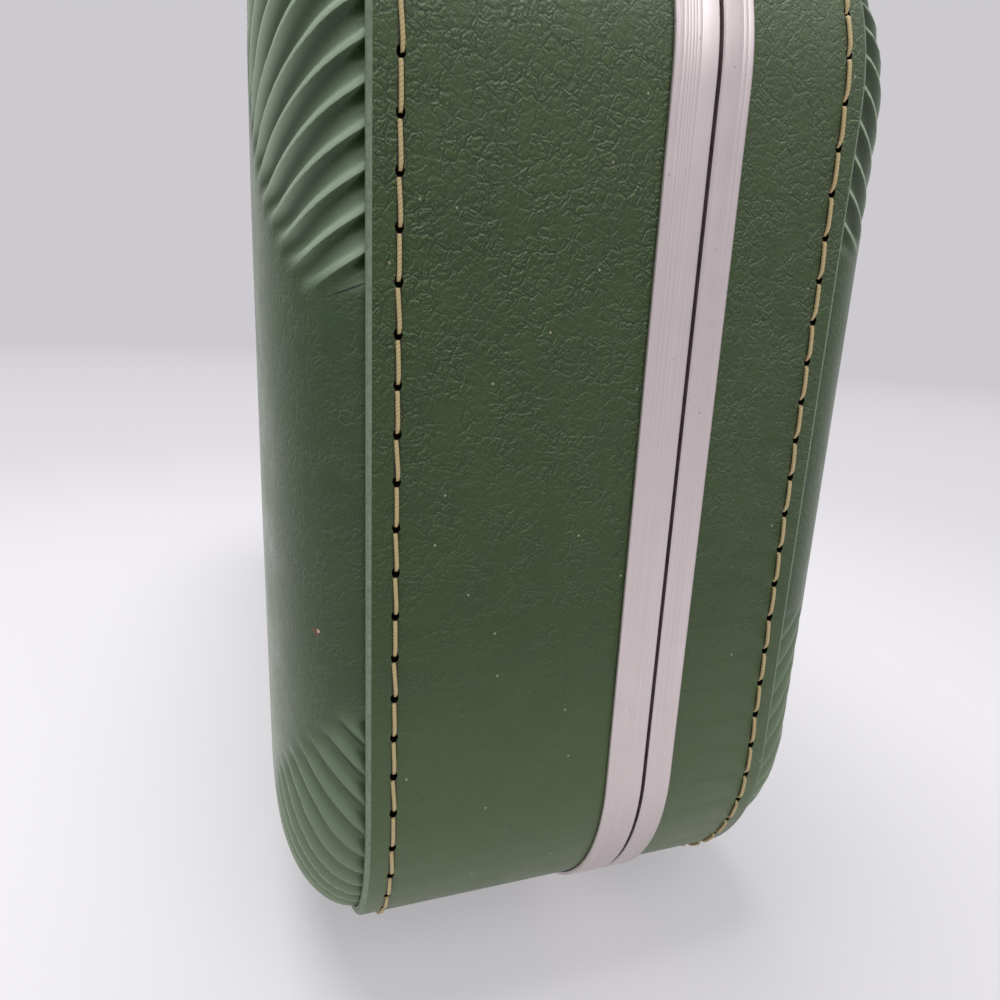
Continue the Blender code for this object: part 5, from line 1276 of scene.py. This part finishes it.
bmesh.ops.contextual_create(bm, geom=edges)
for face in bm.faces:
    turns = [windings[loop.vert] for loop in face.loops]
    over = max(turn[0] for turn in turns) - min(turn[0] for turn in turns) > math.pi * grip_across
    for loop, (angle, length) in zip(face.loops, turns):
        loop[grip].uv = (angle + (math.tau * grip_across if over and angle < 0 else 0), length)
bmesh.ops.recalc_face_normals(bm, faces=bm.faces[:])
grip_piece = add_piece("sewn_grip", bm, grip_vinyl, "handle", 50)
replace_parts(grip_piece, "handle_grip")

# Stitches 3.6 mm apart run just above the seam's welt.
bm = bmesh.new()
stitch_gap, stitch_margin, stitch_lean, stitch_sink = 3.6 * mm, 7 * mm, math.radians(155), 0.955
count = int((bow_total - 2 * stitch_margin) / stitch_gap)
for number in range(count):
    length = stitch_margin + number * stitch_gap
    spot, out, _ = bow_place(length)
    spot += (out * grip_across * math.cos(stitch_lean) + Vector((0, 0, 1)) * grip_high
             * math.sin(stitch_lean)) * grip_girth(length) * stitch_sink
    along = out.cross(Vector((0, 0, 1)))
    turn = Matrix((along, out * math.sin(stitch_lean) - Vector((0, 0, 1)) * math.cos(stitch_lean),
                   out * math.cos(stitch_lean)
                   + Vector((0, 0, 1)) * math.sin(stitch_lean))).transposed().to_4x4()
    bmesh.ops.create_uvsphere(bm, u_segments=8, v_segments=6, radius=1, matrix=Matrix.Translation(spot)
                              @ turn @ Matrix.Diagonal((1.35 * mm, 0.35 * mm, 0.4 * mm, 1)))
add_piece("grip_stitches", bm, linen, "handle", 60)

ferrule_profile = [(0, 13.4), (3.7, 13.4), (5.4, 13.9), (6.2, 14.8), (6.3, 15.3), (6.3, 17.9), (6.55, 18.1),
                   (6.55, 18.7), (6.2, 18.9), (0, 18.9)]
bracket_rivets, bracket_top_z = (-8, 8), 296.5 * mm
for label, out in (("left", -1), ("right", 1)):
    bm = bmesh.new()
    add_lathe_work(bm, ferrule_profile, (out * eye_x, handle_y, handle_z), (0, 1, 0), 40)
    add_piece(f"grip_ferrule_{label}", bm, nickel, "handle", 35)
    eye = add_piece(f"grip_eye_{label}", eased_copy(f"handle_eye_{label}", 0.3 * mm), nickel, "handle")
    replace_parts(eye, f"handle_eye_{label}")
    bm = eased_copy(f"handle_bracket_{label}", 0.25 * mm)
    for step in bracket_rivets:
        add_lathe_work(bm, rivet_profile, (out * eye_x + step * mm, handle_y, bracket_top_z), (0, 0, 1))
    bracket = add_piece(f"grip_bracket_{label}", bm, nickel, "body_half")
    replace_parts(bracket, f"handle_bracket_{label}")
    pin(f"grip_pin_{label}", f"handle_pin_{label}", 1.4, "body_half")


# Feet
# Nickel-plated studs turned from steel and nailed through the bands on the side that the case
# stands on; their toes have worn dull on floors.
stud, tree, shader, at = new_material("worn_nickel_stud", "BDB9B0", 0.25, 1.0)
low_down = add_node(tree, "ShaderNodeSeparateXYZ", {0: at})
scuffed = add_node(tree, "ShaderNodeMapRange", {"Value": low_down.outputs[2], "From Min": 0.0,
                                                "From Max": 2.0, "To Min": 1.0, "To Max": 0.0})
grit = add_node(tree, "ShaderNodeTexNoise", {"Vector": at, "Scale": 1.4, "Detail": 5.0})
share = add_node(tree, "ShaderNodeMath", {0: scuffed.outputs[0], 1: grit.outputs[0]}, operation="MULTIPLY")
tone = add_node(tree, "ShaderNodeMix", {"Factor": share.outputs[0], 6: linear("C3BFB6"),
                                        7: linear("7A7468")}, data_type="RGBA")
tree.links.new(tone.outputs[2], shader.inputs["Base Color"])
wear_and_sheen = add_node(tree, "ShaderNodeMapRange", {"Value": share.outputs[0], "From Max": 0.6, "To Min": 0.2,
                                             "To Max": 0.55})
tree.links.new(wear_and_sheen.outputs[0], shader.inputs["Roughness"])
foot_profile = [(0, 0.25), (1.6, 0.25), (2.0, 0), (3.9, 0), (4.5, 0.2), (4.85, 0.6), (5, 1.1), (5, 4.2),
                (5.15, 4.75), (5.6, 5.15), (6.4, 5.4), (6.85, 5.7), (7, 6.15), (7, 6.7), (0, 6.7)]
foot_x = 130 * mm
for half, foot_y, body in (("body", 36.85 * mm, "body_half"), ("lid", -40.15 * mm, "lid")):
    for label, out in (("left", -1), ("right", 1)):
        bm = bmesh.new()
        add_lathe_work(bm, foot_profile, (out * foot_x, foot_y, 0), (0, 0, 1), 40)
        foot = add_piece(f"stud_{half}_{label}", bm, stud, body, 30)
        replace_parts(foot, f"foot_{half}_{label}")
